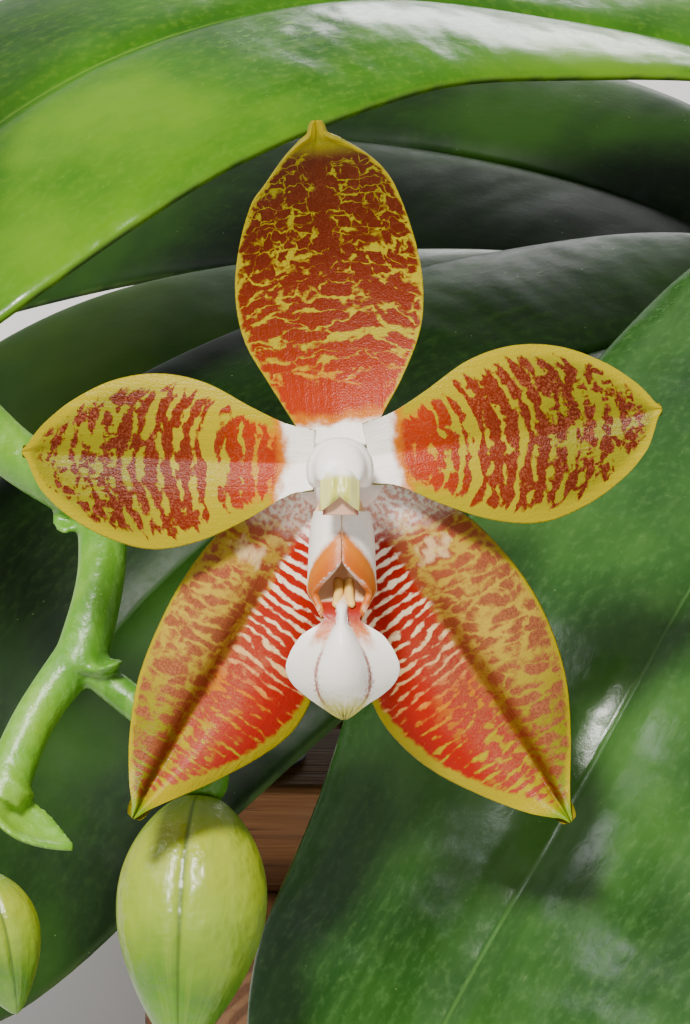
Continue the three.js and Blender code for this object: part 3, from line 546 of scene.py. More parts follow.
class TepalSkin(Ground):
    """The skin of a tepal, with what its patterns share. Each seed gives a tepal patterns of its own."""

    def __init__(self, name, seed):
        super().__init__(name)
        self.shift = (seed * 7.3, seed * 3.1, 0)
        self.slow = self.cloud(0.3, 0.22)
        self.quick = self.cloud(1.3, 0.8)
        self.sway = self.cloud(0.9, 1.3, shift=(seed * 5.7 + 40, seed, 0))
        grains = self.scaled(self.lay, (1, 1, 0), self.shift)
        self.grain = 1 - self.cells(grains, 7.5)
        self.tone = self.cells(grains, 7.5, "Color").parts()[0]

    def drift(self, quick, slow):
        """Up to half of quick and slow to either side, in small lumps and in large ones."""
        return (self.quick - 0.5) * quick + (self.slow - 0.5) * slow

    def bent(self, bow, wander, ripple):
        """How far along a bar lies: bars bend back by bow with the distance from the midline, and waver."""
        return self.along + self.aside * self.aside * bow + self.drift(ripple, wander)

    def lengthwise(self, *stops):
        """A number or a colour that changes from base to tip."""
        return self.profile(self.u, stops)

    def stripes(self, step, period):
        return (step * (2 * math.pi / period)).sine()

    def blotches(self, step, period, length):
        """Rounded blotches, period apart along and length across: high inside, 0 on their borders."""
        across = (self.aside + (self.sway - 0.5) * 2.2) / length + self.shift[1]
        inputs = {"Vector": self.vector(step / period, across), "Scale": 1.0, "Randomness": 0.85}
        return self.node("TexVoronoi", inputs, "Distance", feature="DISTANCE_TO_EDGE")

    def fingers(self, step, least, most):
        """1 inside the margin, which bars leave free by least to most, each to its own length."""
        lone = self.vector(step * 1.1 + self.shift[0], self.v.between(-0.1, 0.1) * 9)
        free = self.noise(lone, 1, 2).between(0.3, 0.7) * (most - least) + least
        return (self.edge - free + (self.quick - 0.5) * 0.8).between(-0.12, 0.22)

    def with_painted_glints(self, color, share):
        """The colour with painted glints: its grains turn a paler pink, more of them in patches of painted
        sheen.
        """
        # patches of painted sheen
        painted_sheen = self.cloud(0.35, 0.25).between(0.35, 0.75)
        return self.mix(self.tone.between(0.35, 1.0) * (painted_sheen * 0.7 + 0.3) * share, color, PAINTED_SHEEN_PINK)

    def faced(self, color, *layers):
        """Ends the material: layers over a colour above, a plain yellow-green back, satin grain all over."""
        back = self.mix(self.cloud(0.5, 0.5).between(0.35, 0.7), (140, 128, 30), (112, 108, 24))
        veins = self.cloud(0.22, 2.2, shift=(0, 0, 0))
        normal = self.bumps((veins, 0.12, 0.5), (self.cloud(1.6, 1.6), 0.06, 0.5), (self.grain, 0.03, 0.8))
        color = self.layered(color, *layers, (self.under, back))
        return self.finish(color, 0.28 + self.tone * 0.14, normal, Specular_IOR_Level=0.14)


def dorsal_finish(name, seed):
    """A net of thin yellow lines, broken here and there, over red-brown."""
    skin = TepalSkin(name, seed)
    step = skin.bent(0.022, 2.4, 1.3)
    distal = skin.u.between(0.3, 0.75)
    cells = skin.blotches(step, 1.1, 4.2) * (1 - distal) + skin.blotches(step, 0.82, 1.5) * distal
    cloud = skin.cloud(0.9, 0.45, 3, 0.6)
    midline = abs(skin.aside + (skin.quick - 0.5) * 1.2).between(1.1, 0.2) * skin.u.between(0.4, 0.7)
    level = skin.lengthwise(
        (0, 0.34), (0.1, 0.24), (0.22, 0.1), (0.4, 0.07), (0.6, 0.08), (0.9, 0.1), (1, 0.12))
    field = cells + (cloud - 0.5) * 0.38 + level + midline * 0.08 - 0.11
    bar = field.between(-0.03, 0.05) * skin.fingers(step, 0.0, 0.4) * skin.u.between(0.94, 0.88)
    red = skin.lengthwise((0, VERMILION), (0.15, VERMILION), (0.35, BRICK), (0.6, RED_BROWN), (1, DARK_BROWN))
    yellow = skin.lengthwise((0, ORANGE), (0.16, ORANGE), (0.3, YELLOW), (0.5, YELLOW), (0.8, OLIVE))
    pale = skin.along + skin.drift(1.6, 1.6)
    return skin.faced(
        yellow,
        (skin.edge.between(0.8, 0.1) * 0.8, YELLOW),
        # red-brown with a few painted pink glints in its grains
        (bar, skin.with_painted_glints(red, 0.14)),
        (pale.between(3.4, 2.0), ORANGE),
        (pale.between(2.3, 1.3), WHITE),
    )


def petal_finish(name, seed):
    """Bars of red-brown blotches, close and orange-red near the base, small and scattered near the tip."""
    skin = TepalSkin(name, seed)
    step = skin.bent(0.055, 1.6, 0.7)
    distal = skin.u.between(0.45, 0.8)
    cells = skin.blotches(step, 1.28, 2.3) * (1 - distal) + skin.blotches(step, 0.95, 0.95) * distal
    cloud = skin.cloud(0.9, 0.5, 3, 0.6)
    patch = skin.cloud(0.3, 0.3, 1)
    level = skin.lengthwise(
        (0, 0.45), (0.12, 0.36), (0.2, 0.27), (0.32, 0.22), (0.4, 0.24), (0.7, 0.18), (0.9, 0.13))
    gap = abs(step - 8.6 + (skin.slow - 0.5) * 2).between(0.9, 0.3) * 0.3
    field = skin.stripes(step, 1.28) * 0.13 * (1 - distal * 0.6) + cells * 0.8 + (cloud - 0.5) * 0.9
    field = field + (patch - 0.5) * 0.3 + level - gap - 0.22
    bar = field.between(-0.03, 0.06) * skin.fingers(step, 0.6, 1.7) * skin.u.between(0.97, 0.92)
    red = skin.lengthwise((0, VERMILION), (0.2, VERMILION), (0.34, BRICK), (0.65, RED_BROWN), (1, RED_BROWN))
    yellow = skin.lengthwise(
        (0, ORANGE), (0.14, ORANGE), (0.26, YELLOW), (0.45, YELLOW), (0.65, OLIVE), (1, OLIVE))
    pale = skin.along + skin.drift(1.2, 1.2) - abs(skin.aside) * 0.2
    return skin.faced(
        yellow,
        (skin.edge.between(1.6, 0.4), YELLOW),
        # red-brown with many painted pink glints in its grains
        (bar, skin.with_painted_glints(red, 0.75)),
        (pale.between(3.0, 2.1), ORANGE),
        (pale.between(2.4, 1.4), WHITE),
    )


def lateral_finish(name, seed, inward):
    """Red bars on cream on the half beside the lip, purple-brown blotches on sand and olive on the other;
    painted pink sheen and painted shade along the valley.
    """
    skin = TepalSkin(name, seed)
    side = skin.aside * inward
    inner = (side + (skin.quick - 0.5) * 1.2).between(-0.4, 0.5)
    step = skin.bent(0.0, 1.4, 0.6) - abs(side) * 0.1
    thin = skin.stripes(step, 0.86) * 0.5 + (skin.cloud(0.8, 0.5, 3, 0.6) - 0.5) * 3.0
    red_level = skin.lengthwise(
        (0, 0.35), (0.1, 0.55), (0.3, 0.57), (0.5, 0.61), (0.62, 0.66), (0.8, 0.64), (1, 0.35))
    red_bar = (thin + (red_level - 0.5) * 4).between(-0.25, 0.3)
    # Painted pink sheen on the half by the lip, near the valley: the scarlet bars turn a grainy rose-pink
    # there.
    painted_sheen = (side + (skin.slow - 0.5) * 5).between(5.6, 1.4) * skin.u.between(0.25, 0.55)
    rosy = skin.mix(skin.tone.between(0.1, 0.9), ROSE, PAINTED_SHEEN_PINK)
    red = skin.mix(painted_sheen * 0.85, SCARLET, rosy)
    flecks = skin.cloud(1.6, 0.7).between(0.54, 0.64) * painted_sheen * skin.u.between(0.4, 0.6)
    cream = skin.lengthwise((0, WHITE), (0.4, CREAM), (0.56, ORANGE), (0.7, YELLOW), (1, YELLOW))
    inside = skin.mix(red_bar * (1 - flecks * 0.8), cream, red)

    cells = skin.blotches(step, 1.05, 2.7)
    blotch = (cells + (skin.cloud(0.9, 0.6, 3, 0.6) - 0.5) * 0.8 - 0.05).between(-0.08, 0.14)
    purple = skin.layered(
        PURPLE_BROWN,
        # painted pink sheen in the blotches' grains
        (skin.tone.between(0.0, 1.0) * 0.8, PAINTED_SHEEN_PINK),
        # painted shade: darker red-brown beside the valley on the outer half
        (side.between(-3.5, -0.5) * 0.6, BRICK),
        (skin.u.between(0.45, 0.15) * 0.7, ROSE),
    )
    spot = ((skin.along - 7.2) ** 2 + (side + 2.9) ** 2 * 0.35 + (skin.sway - 0.5) * 5).between(1.4, -0.3)
    # Painted shade: a dark red-brown line down the valley's groove.
    painted_valley_shade = abs(side + 0.5 + (skin.slow - 0.5)).between(1.6, 0.2) * skin.u.between(0.2, 0.5) * 0.75
    rim_width = skin.lengthwise((0, 0.0), (0.4, 0.1), (0.6, 0.5), (0.8, 0.6), (1, 1)) * 1.4
    rim = (skin.edge + (skin.quick - 0.5) * 1.1 - inner * rim_width).between(0.75, 0.2)
    blush = skin.mix(skin.cloud(2.4, 2.4).between(0.38, 0.62) * 0.7, WHITE, (206, 104, 76))
    pale = skin.along + skin.drift(1.5, 2) + side * 0.25
    return skin.faced(
        skin.lengthwise((0, CREAM), (0.2, SAND), (0.5, SAND), (0.75, OLIVE), (1, LIME)),
        (blotch * 0.92, purple),
        (spot * 0.7, CREAM),
        (painted_valley_shade, RED_BROWN),
        (inner, inside),
        (rim * skin.u.between(0.1, 0.4), YELLOW),
        (skin.u.between(0.93, 0.98), LIME),
        (pale.between(4.8, 1.6), blush),
    )


def parted(shell, part):
    """The shell with a mark for its part of the piece, 1 in one of three places."""
    points, faces, marks = shell
    return points, faces, {**marks, "part": np.tile(np.eye(3)[part], (len(points), 1))}


def waxy(skin, color, normal, gloss=0.38):
    """Ends the material of a thick, waxy part of a flower."""
    return skin.finish(color, gloss, normal, Specular_IOR_Level=0.35, Subsurface_Weight=0.08,
                       Subsurface_Radius=(0.0012, 0.0008, 0.0005), Subsurface_Scale=0.3)


def column_finish(name):
    """White, with a painted pinkish shade at its lower end, and a brown plate under the notch of its cap."""
    skin = Ground(name)
    height = skin.place().parts()[2]
    plate = skin.mark("part").parts()[1]
    grain = skin.lumps(2.2, 3)
    stigma = skin.mix(skin.edge.between(0.45, 0.1), (206, 164, 136), (168, 104, 84))
    color = skin.layered(
        WHITE,
        (grain.between(0.4, 0.8) * 0.25, (240, 222, 206)),
        # painted pinkish shade at the column's lower end, where it meets the tepals
        (height.between(BLOOM_CENTRE[2] - 0.4, BLOOM_CENTRE[2] - 2.6) * 0.45, (226, 176, 160)),
        (plate, stigma),
    )
    return waxy(skin, color, skin.bump(grain, 0.05))


def cap_finish(name):
    """White above, yellow-green below, with two darker bands down it."""
    skin = Ground(name)
    grain = skin.noise(skin.lay, 2.2, 2)
    bands = abs(abs(skin.v) - 0.3).between(0.3, 0.05)
    green = skin.mix(bands * 0.7, (216, 212, 128), (176, 180, 44))
    low = (skin.u + abs(skin.v) * 0.1 + (grain - 0.5) * 0.15).between(0.12, 0.42)
    color = skin.layered(
        WHITE,
        (low, green),
        (skin.edge.between(0.3, 0.05) * skin.u.between(0.5, 0.9) * 0.5, (196, 196, 60)),
        (skin.under, (214, 200, 150)),
    )
    return waxy(skin, color, skin.bump(grain, 0.04), 0.3)


def lip_finish(name):
    """White wings and keel, orange and red beside the neck, orange along the side lobes' free edges, painted
    shade along the keel's sides.
    """
    skin = Ground(name)
    _, lobe, callus = skin.mark("part").parts()
    grain = skin.noise(skin.lay, 1.6, 3)
    quick = skin.noise(skin.lay, 2.6, 2)
    reading = skin.mark("reading").parts()[0]
    off_keel = reading + (quick - 0.5) * 0.35
    beside = off_keel.between(-0.1, 0.12) * off_keel.between(1.5, 0.95) * skin.u.between(0.455, 0.475)
    orange = beside * (skin.u + (grain - 0.5) * 0.1).between(0.7, 0.6)
    # Painted shade: a brown line in the crease along each side of the keel.
    painted_keel_shade = abs(off_keel - 0.02).between(0.2, 0.04) * skin.u.between(0.64, 0.72) * quick.between(0.25, 0.5)
    freckles = skin.noise(skin.lay, 2.4, 2).between(0.55, 0.65) * abs(off_keel).between(0.6, 0.2)
    tip = (skin.u + (grain - 0.5) * 0.1 - off_keel.most(0) * 0.05).between(0.87, 0.97)
    floor = skin.layered(
        WHITE,
        (grain.between(0.35, 0.8) * 0.3, (240, 226, 214)),
        (skin.u.between(0.5, 0.44) * 0.7, (232, 176, 84)),
        (orange * 0.95, (196, 100, 0)),
        (beside * skin.u.between(0.62, 0.52), (150, 26, 6)),
        (painted_keel_shade * 0.9, (150, 70, 46)),
        (freckles * skin.u.between(0.74, 0.85) * 0.6, (150, 70, 60)),
        (tip * 0.85, (190, 186, 52)),
    )

    band = (reading + (grain - 0.5) * 0.5 - skin.v * 0.25).between(2.7, 1.9)
    sides = skin.v.between(-0.95, -0.6)
    wall = skin.layered(
        WHITE,
        (grain.between(0.3, 0.8) * 0.4, (238, 220, 196)),
        (band * sides, skin.mix(reading.between(0.3, 1.6), (176, 84, 0), (196, 106, 0))),
        ((1 - sides) * reading.between(4, 1.5) * 0.75, (224, 166, 60)),
        (skin.under, skin.mix(skin.v.between(0.6, -0.2), (226, 218, 206), (190, 100, 20))),
    )
    teeth = skin.mix(grain.between(0.4, 0.7), (232, 196, 110), (222, 160, 60))
    return waxy(skin, skin.layered(floor, (lobe, wall), (callus, teeth)), skin.bump(grain, 0.05), 0.4)


# The bloom

TEPAL_THICKNESS = 0.85

# The form that both lateral sepals share
LATERAL_FORM = {
    "spine": [(0, -0.5), (0.3, -2.2), (0.6, -2.7), (0.85, -1.8), (1, -0.5)],
    "cup": [(0, 0.2), (0.4, -0.4), (0.8, -0.6), (1, 0)],
    "groove": 1.1,
    "bulge": 0.9,
}

# Each tepal is its base and its tip in the bloom's frame, half-widths to the left and right from base to
# tip, the height of its midline, how its sides cup, a groove down the middle and a bulge beside it.
TEPALS = {
    "dorsal_sepal": {
        "base": (0, 1.9),
        "tip": (-1.9, 27.9),
        "left": [(0, 2.6), (0.065, 3.3), (0.2, 5.2), (0.34, 7), (0.48, 7.5), (0.62, 7), (0.76, 5.7),
                 (0.81, 4.6), (0.89, 2.8), (0.93, 1.5), (0.945, 0.75), (0.96, 0.5), (0.98, 0.4),
                 (1, 0.12)],
        "right": [(0, 2.6), (0.065, 3.2), (0.2, 5.4), (0.34, 7.1), (0.48, 7.6), (0.62, 7.2), (0.78, 6),
                  (0.845, 5), (0.89, 3.7), (0.93, 1.9), (0.945, 0.85), (0.96, 0.5), (0.98, 0.4),
                  (1, 0.12)],
        "spine": [(0, -0.4), (0.25, -1.6), (0.6, -2.1), (0.85, -0.8), (1, 0.9)],
        "cup": [(0, 0.6), (0.4, 0.9), (0.8, 0.9), (1, 0.1)],
        "groove": 0.15,
        "bulge": 0,
    },
    "lateral_sepal_left": {
        "base": (-1.5, -1.9),
        "tip": (-16.6, -27.9),
        "left": [(0, 0.9), (0.08, 2.6), (0.2, 4.9), (0.36, 6.8), (0.5, 7.7), (0.6, 7.6), (0.7, 6.3),
                 (0.82, 4), (0.92, 1.7), (0.965, 0.7), (0.98, 0.45), (1, 0.15)],
        "right": [(0, 1.9), (0.08, 3.8), (0.2, 5.4), (0.36, 6.2), (0.52, 6.1), (0.68, 5.3), (0.82, 3.6),
                  (0.92, 1.8), (0.965, 0.75), (0.98, 0.45), (1, 0.15)],
        **LATERAL_FORM,
    },
    "lateral_sepal_right": {
        "base": (1.5, -1.9),
        "tip": (18.5, -28.2),
        "left": [(0, 1.9), (0.08, 4.3), (0.2, 6.4), (0.34, 7.4), (0.46, 7.6), (0.58, 7.1), (0.7, 5.9),
                 (0.82, 3.8), (0.92, 1.6), (0.965, 0.7), (0.98, 0.45), (1, 0.15)],
        "right": [(0, 0.9), (0.08, 2.6), (0.2, 5), (0.36, 7.2), (0.48, 8.3), (0.58, 8.3), (0.7, 7.2),
                  (0.82, 5), (0.92, 2.6), (0.965, 1.1), (0.98, 0.5), (1, 0.15)],
        **LATERAL_FORM,
    },
    "petal_left": {
        "base": (-2.1, 0.5),
        "tip": (-25.5, 1.5),
        "left": [(0, 2.1), (0.08, 2.6), (0.22, 4.7), (0.38, 6.6), (0.54, 7.4), (0.7, 6.6), (0.84, 4.9),
                 (0.93, 3), (0.965, 1.5), (0.98, 0.7), (1, 0.15)],
        "right": [(0, 2.6), (0.1, 3.1), (0.22, 4.3), (0.38, 6.1), (0.54, 6.7), (0.7, 6), (0.84, 4.2),
                  (0.93, 2.3), (0.965, 1.2), (0.98, 0.6), (1, 0.15)],
        "spine": [(0, 1), (0.3, 0.5), (0.6, -0.5), (0.85, -0.9), (1, -0.5)],
        "cup": [(0, 0.7), (0.4, 0.6), (0.8, 0.2), (1, 0)],
        "groove": 0.3,
        "bulge": 0.35,
    },
}
TEPALS["petal_right"] = {
    **TEPALS["petal_left"],
    "base": (2.3, 1),
    "tip": (25.8, 4.9),
    "left": [(u, 1.04 * width) for u, width in TEPALS["petal_left"]["right"]],
    "right": TEPALS["petal_left"]["left"],
}


def tepal_surface(tepal):
    base = np.array(tepal["base"], float)
    way = np.array(tepal["tip"], float) - base
    side = unit(np.array([-way[1], way[0]]))
    left, right, spine, cup = (through(tepal[part]) for part in ("left", "right", "spine", "cup"))

    def surface(u, v):
        w = np.where(v > 0, left(u), right(u))
        rise = tepal["bulge"] * np.sin(math.pi * np.minimum(u * 1.1, 1))
        depth = tepal["groove"] * (0.35 + 0.65 * u) * np.minimum(1, 12 * (1 - u) + 0.2)
        groove = depth * np.exp(-((v / 0.22) ** 2))
        height = spine(u) + cup(u) * v * v - groove + rise * (np.sin(math.pi * np.abs(v)) - 1.1 * v**4)
        flat = base + way * u[..., None] + side * (v * w)[..., None]
        return from_bloom(np.concatenate([flat, height[..., None]], axis=-1))

    return surface


def tepal(name, material, slot):
    shell = blade(tepal_surface(TEPALS[name]), lambda u, v: TEPAL_THICKNESS * (1 - 0.28 * np.abs(v)), 120, 72)
    settle(add_mesh(name + "_skin", [shell], material), [name], slot)


tepal("dorsal_sepal", dorsal_finish("dorsal_sepal_skin", 1), "sepal")
tepal("lateral_sepal_left", lateral_finish("left_sepal_skin", 3, 1), "sepal")
tepal("lateral_sepal_right", lateral_finish("right_sepal_skin", 4, -1), "sepal")
tepal("petal_left", petal_finish("left_petal_skin", 2), "petal")
tepal("petal_right", petal_finish("right_petal_skin", 5), "petal")


# Leaves

LEAF_WIDTH = through([
    (0, 0.26), (0.12, 0.42), (0.3, 0.72), (0.55, 0.98), (0.7, 1.0), (0.85, 0.82), (0.94, 0.52), (1, 0.04)])
LEAF_CHANNEL = through([(0, 0.25), (0.08, 0.6), (0.2, 0.38), (0.5, 0.18), (1, 0.06)])
LEAF_THICKNESS = 1.9

# Each leaf is its greatest half-width, its roll in degrees and the points of its midrib.
LEAVES = {
    "leaf_front_low": (25, -18, [
        (-8.6, -3.2, 79), (-30, -9, 86), (-58, -17, 90), (-86, -27, 87), (-108, -35, 73),
        (-121, -40, 54)]),
    "leaf_front_shaded": (25, -12, [
        (-6.9, -5.9, 88), (-20, -18, 95.5), (-36, -31, 99.5), (-56, -46, 99.5), (-79, -60.5, 92.5),
        (-97, -74, 76), (-110, -85, 52)]),
    "leaf_front_arching": (27, 0, [
        (-3.4, -7.4, 98), (-9, -22, 104), (-20, -47, 107), (-37, -84, 99.5), (-48, -100, 86.5),
        (-59, -111, 71), (-68, -120, 54)]),
    "leaf_top_arching": (26, 0, [
        (-7.1, -0.9, 106), (-24, -2, 115), (-46, -4, 121.5), (-70, -12, 126.5), (-94, -27, 124),
        (-116, -45, 111), (-134, -62, 92)]),
    "leaf_back_left": (27, -16, [
        (-6.4, 6.6, 76), (-28, 19, 90), (-56, 34, 94), (-84, 49, 90), (-108, 61, 76), (-122, 68, 56)]),
    "leaf_back_low": (26, 0, [
        (8.6, 3.2, 82), (32, 13, 90), (62, 25, 90), (92, 38, 79), (112, 48, 61), (122, 54, 42)]),
    "leaf_back_middle": (28, 0, [
        (5.6, 7.1, 92), (23, 29, 107), (46, 60, 111), (66, 90, 100), (80, 112, 80), (88, 124, 60)]),
    "leaf_back_upper": (27, 0, [
        (6.4, 4.2, 102), (28, 19, 122), (57, 40, 134), (88, 62, 131), (114, 82, 114), (130, 95, 92)]),
    "leaf_new": (14, 8, [
        (2.4, 1.6, 113), (10, 8, 130), (22, 17, 150), (38, 28, 166), (54, 38, 174)]),
}


def leaf_surface(half_width, roll, points):
    midrib = Route(points)
    turn = math.radians(roll)

    def surface(u, v):
        way = midrib.way(u)
        level = unit(np.cross(way, UPWARD))
        up = unit(np.cross(level, way))
        side = level * math.cos(turn) - up * math.sin(turn)
        normal = up * math.cos(turn) + level * math.sin(turn)
        w = half_width * LEAF_WIDTH(u)
        channel = LEAF_CHANNEL(u)
        arch = 0.22 * np.sin(math.pi * np.minimum(u * 1.05, 1)) * v * v
        groove = 1.1 * np.exp(-((v / 0.07) ** 2)) * (1 - 0.6 * u)
        spread = v * w * (1 - 0.35 * channel)
        lift = w * (channel * np.abs(v) - arch) - groove
        return midrib.at(u) + side * spread[..., None] + normal * lift[..., None]

    return surface


def leaf(name, material):
    surface = leaf_surface(*LEAVES[name])
    shell = blade(surface, lambda u, v: LEAF_THICKNESS * (1 - 0.4 * np.abs(v)) * (1 - 0.35 * u), 90, 60, 16)
    form = shell[2]["form"]
    form[:, 2] = 1 - form[:, 2]  # blade() builds up from the leaf's lower side
    settle(add_mesh(name + "_blade", [shell], material), [name], "leaf")


def leaf_finish(name, shades, fleck, dull):
    """Green clouded in three shades, glossy or dull, with faint long veins, dust, pale midrib and rim."""
    skin = Ground(name)
    clouds = skin.lumps(0.045, 3, 0.55)
    veins = skin.cloud(0.02, 0.7)
    grain = skin.cloud(0.9, 1.2, 3, 0.6)
    dust = skin.cells(skin.scaled(skin.lay, (1, 1, 0)), 0.55).between(0.05, 0.025)
    scars = skin.cloud(0.22, 1.6, shift=(40, 7, 0)).between(0.78, 0.84)
    color = skin.layered(
        skin.profile(clouds, list(zip((0.32, 0.5, 0.66), shades))),
        (veins.between(0.4, 0.7) * 0.12, fleck),
        (grain.between(0.45, 0.75) * 0.3, fleck),
        (abs(skin.aside).between(0.6, 0.15) * 0.5, fleck),
        (skin.edge.between(0.7, 0.1) * 0.6, fleck),
        (dust.most(scars) * 0.35, (130, 144, 96)),
        (skin.under, skin.mix(veins.between(0.35, 0.65), (48, 74, 26), (62, 88, 34))),
    )
    rough = 0.2 + dull + skin.under * 0.25 + grain.between(0.35, 0.8) * 0.08
    normal = skin.bumps((skin.cloud(0.1, 0.07), 1.3, 0.6), (veins, 0.02, 0.4), (grain, 0.05, 0.5))
    return skin.finish(color, rough, normal, Specular_IOR_Level=0.32 - dull * 0.6)


# Each finish is its leaves, its three shades, its fleck and how dull it is.
# The greens are painted for the light on each leaf: lighter and yellower on the lit top leaves, a painted
# bluish reflection on the front ones, painted lighter on the low ones in shade, and a painted deep shade on
# the dark ones.
LEAF_FINISHES = {
    "top_leaf_skin": (
        ("leaf_top_arching", "leaf_back_upper", "leaf_new"),
        ((32, 76, 6), (54, 102, 8), (86, 128, 10)), (96, 132, 28), 0.0),
    "front_leaf_skin": (
        ("leaf_front_arching", "leaf_back_middle"),
        ((24, 56, 18), (40, 76, 26), (60, 98, 38)), (76, 112, 54), 0.0),
    "low_leaf_skin": (
        ("leaf_front_low", "leaf_back_low"),
        ((36, 76, 2), (58, 102, 4), (84, 124, 8)), (80, 114, 18), 0.15),
    "painted_shade_leaf_skin": (
        ("leaf_front_shaded", "leaf_back_left"),
        ((8, 24, 3), (14, 38, 4), (30, 60, 6)), (34, 62, 12), 0.25),
}
leaf_skins = {}
for finish_name, (leaf_names, shades, fleck, dull) in LEAF_FINISHES.items():
    leaf_skin = leaf_finish(finish_name, shades, fleck, dull)
    leaf_skins.update(dict.fromkeys(leaf_names, leaf_skin))
for leaf_name in LEAVES:
    leaf(leaf_name, leaf_skins[leaf_name])


# The column and its cap

# Each ring of the column is how far out of the face, its middle's height, half-width, rise above
# and fall below it.
COLUMN_RINGS = [
    (-1.3, 0.0, 1.9, 1.6, 1.5),
    (1.0, 0.2, 1.95, 1.7, 1.5),
    (2.8, 0.3, 2.4, 2.1, 2.0),
    (4.2, 0.1, 2.64, 2.45, 2.1),
    (5.0, 0.0, 2.66, 2.5, 2.0),
    (5.6, 0.0, 2.52, 2.42, 1.8),
    (6.0, -0.05, 2.2, 2.25, 1.5),
    (6.5, -0.1, 2.02, 2.0, 1.3),
    (7.0, -0.25, 1.86, 1.6, 1.1),
    (7.4, -0.5, 1.6, 1.2, 0.8),
    (7.65, -0.75, 1.2, 0.7, 0.5),
]
CAP_HALF_WIDTH = through([(0, 1.25), (0.2, 1.5), (0.7, 1.55), (1, 1.52)])
CAP_FRONT = through([(0, 7.55), (0.2, 8.15), (0.6, 8.6), (0.85, 8.75), (1, 8.55)])


def column_shell():
    out, middle, half, above, below = (
        through(list(enumerate(values))) for values in zip(*COLUMN_RINGS))
    at = np.linspace(0, len(COLUMN_RINGS) - 1, 61)[:, None]
    angle = circle(64)[None, :]
    lower = np.sin(angle) < 0
    square = np.where(lower, 0.32, 0.92)
    x = half(at) * np.sign(np.cos(angle)) * np.abs(np.cos(angle)) ** square
    hollow = np.where(lower, 0.35 * (1 - np.abs(np.cos(angle))) * below(at), 0)
    y = middle(at) + np.where(lower, below(at), above(at)) * np.sin(angle) + hollow
    return loft(bloom_points(x, y, out(at)), (0, 0.15))


def foot_shell():
    """The pale base on which the column and the five tepals stand."""
    share = np.linspace(0.02, 0.98, 24)[:, None] * math.pi
    angle = circle(36)[None, :]
    x = 3.4 * np.sin(share) * np.cos(angle)
    y = -1.1 + 2.3 * np.sin(share) * np.sin(angle)
    return loft(bloom_points(x, y, -0.3 + 0.9 * np.cos(share)))


def stigma_shell():
    """The plate under the cap's notch."""
    def surface(u, v):
        half = 1.2 + 0.22 * u
        return bloom_points(0.05 + half * v, -1.7 - 1.9 * u, 8.0 - 0.25 * v * v - 0.15 * u)

    return parted(blade(surface, even(0.7), 20, 20), 1)


def cap_shell():
    """The anther's cap: a helmet with two ridges, its lower edge notched between two horns."""
    def surface(u, v):
        foot = -2.15 - 1.2 * np.abs(v) ** 0.9
        ridges = 0.16 * np.cos(v * 2.2 * math.pi) * np.sin(math.pi * np.clip(u * 0.9 + 0.1, 0, 1))
        front = CAP_FRONT(u) - 0.75 * np.abs(v) ** 2.4 - ridges
        return bloom_points(CAP_HALF_WIDTH(u) * v, 0.15 + u * (foot - 0.15), front)

    return blade(surface, even(0.75), 40, 48, 8)


# The lip

LIP_X = 0.3
LIP_TOP = -2.4
LIP_LENGTH = 17.2
LIP_HALF_WIDTH = through([
    (0, 1.6), (0.1, 2.3), (0.36, 2.6), (0.47, 2.1), (0.53, 1.5), (0.55, 1.42), (0.573, 2.0), (0.613, 3.1),
    (0.656, 3.7), (0.697, 4.12), (0.767, 4.48), (0.838, 4.08), (0.903, 2.92), (0.959, 1.5), (0.985, 0.8),
    (1, 0.3)])
LIP_RISE = through([(0, 1.3), (0.2, 2.2), (0.42, 4.2), (0.52, 6.4), (0.66, 7.2), (0.82, 6.4), (1, 4.4)])
KEEL_HALF_WIDTH = through([
    (0.4, 0.3), (0.46, 0.5), (0.55, 0.45), (0.6, 0.9), (0.69, 1.6), (0.77, 2.05), (0.84, 2.1), (0.9, 1.85),
    (0.95, 1.3), (1, 0.3)])
KEEL_RISE = through([(0.4, 0), (0.46, 0.9), (0.55, 1.5), (0.68, 2.1), (0.85, 2.1), (0.95, 1.0), (1, 0.2)])
LOBE_START = 0.9
LOBE_REACH = through([(0, 8.6), (0.25, 6.9), (0.5, 5.8), (0.75, 4.9), (1, 4)])
LOBE_HEIGHT = 4.4
LOBE_HALF_WIDTH = through([(0, 2.2), (1, 2.4), (2, 2.55), (5.5, 2.7), (6.3, 2.72), (7.1, 2.3), (8.6, 1.48)])


def lip_floor_shell():
    def surface(u, v):
        x = LIP_HALF_WIDTH(u) * v
        keel = KEEL_RISE(u) * np.sqrt(np.clip(1 - (x / KEEL_HALF_WIDTH(u)) ** 2, 0, 1))
        droop = 2.4 * np.maximum(0, u - 0.5) * v * v
        ragged = 0.2 * np.sin(23 * v + 3) * np.clip((u - 0.9) / 0.1, 0, 1)
        return bloom_points(LIP_X * u + x, LIP_TOP - LIP_LENGTH * u + ragged, LIP_RISE(u) + keel - droop)

    def off_keel(u, v):
        return np.abs(LIP_HALF_WIDTH(u) * v) - KEEL_HALF_WIDTH(u)

    return parted(blade(surface, even(0.8), 150, 96, 8, off_keel), 0)


def side_lobe_shell(sign):
    """A side lobe curves up from the floor's edge to the seam over the middle; its lower edge is free."""
    def surface(u, v):
        up = (v + 1) / 2
        turn = math.pi / 2 * up
        along = u * LOBE_REACH(up)
        foot = LIP_RISE((along + LOBE_START) / LIP_LENGTH) - 0.5
        x = LIP_X / 2 + sign * (0.04 + LOBE_HALF_WIDTH(along) * np.cos(turn))
        return bloom_points(x, LIP_TOP - LOBE_START - along, foot + LOBE_HEIGHT * np.sin(turn))

    def from_end(u, v):
        return (1 - u) * LOBE_REACH((v + 1) / 2)

    return parted(blade(surface, even(-0.6 * sign), 60, 48, 12, from_end), 1)


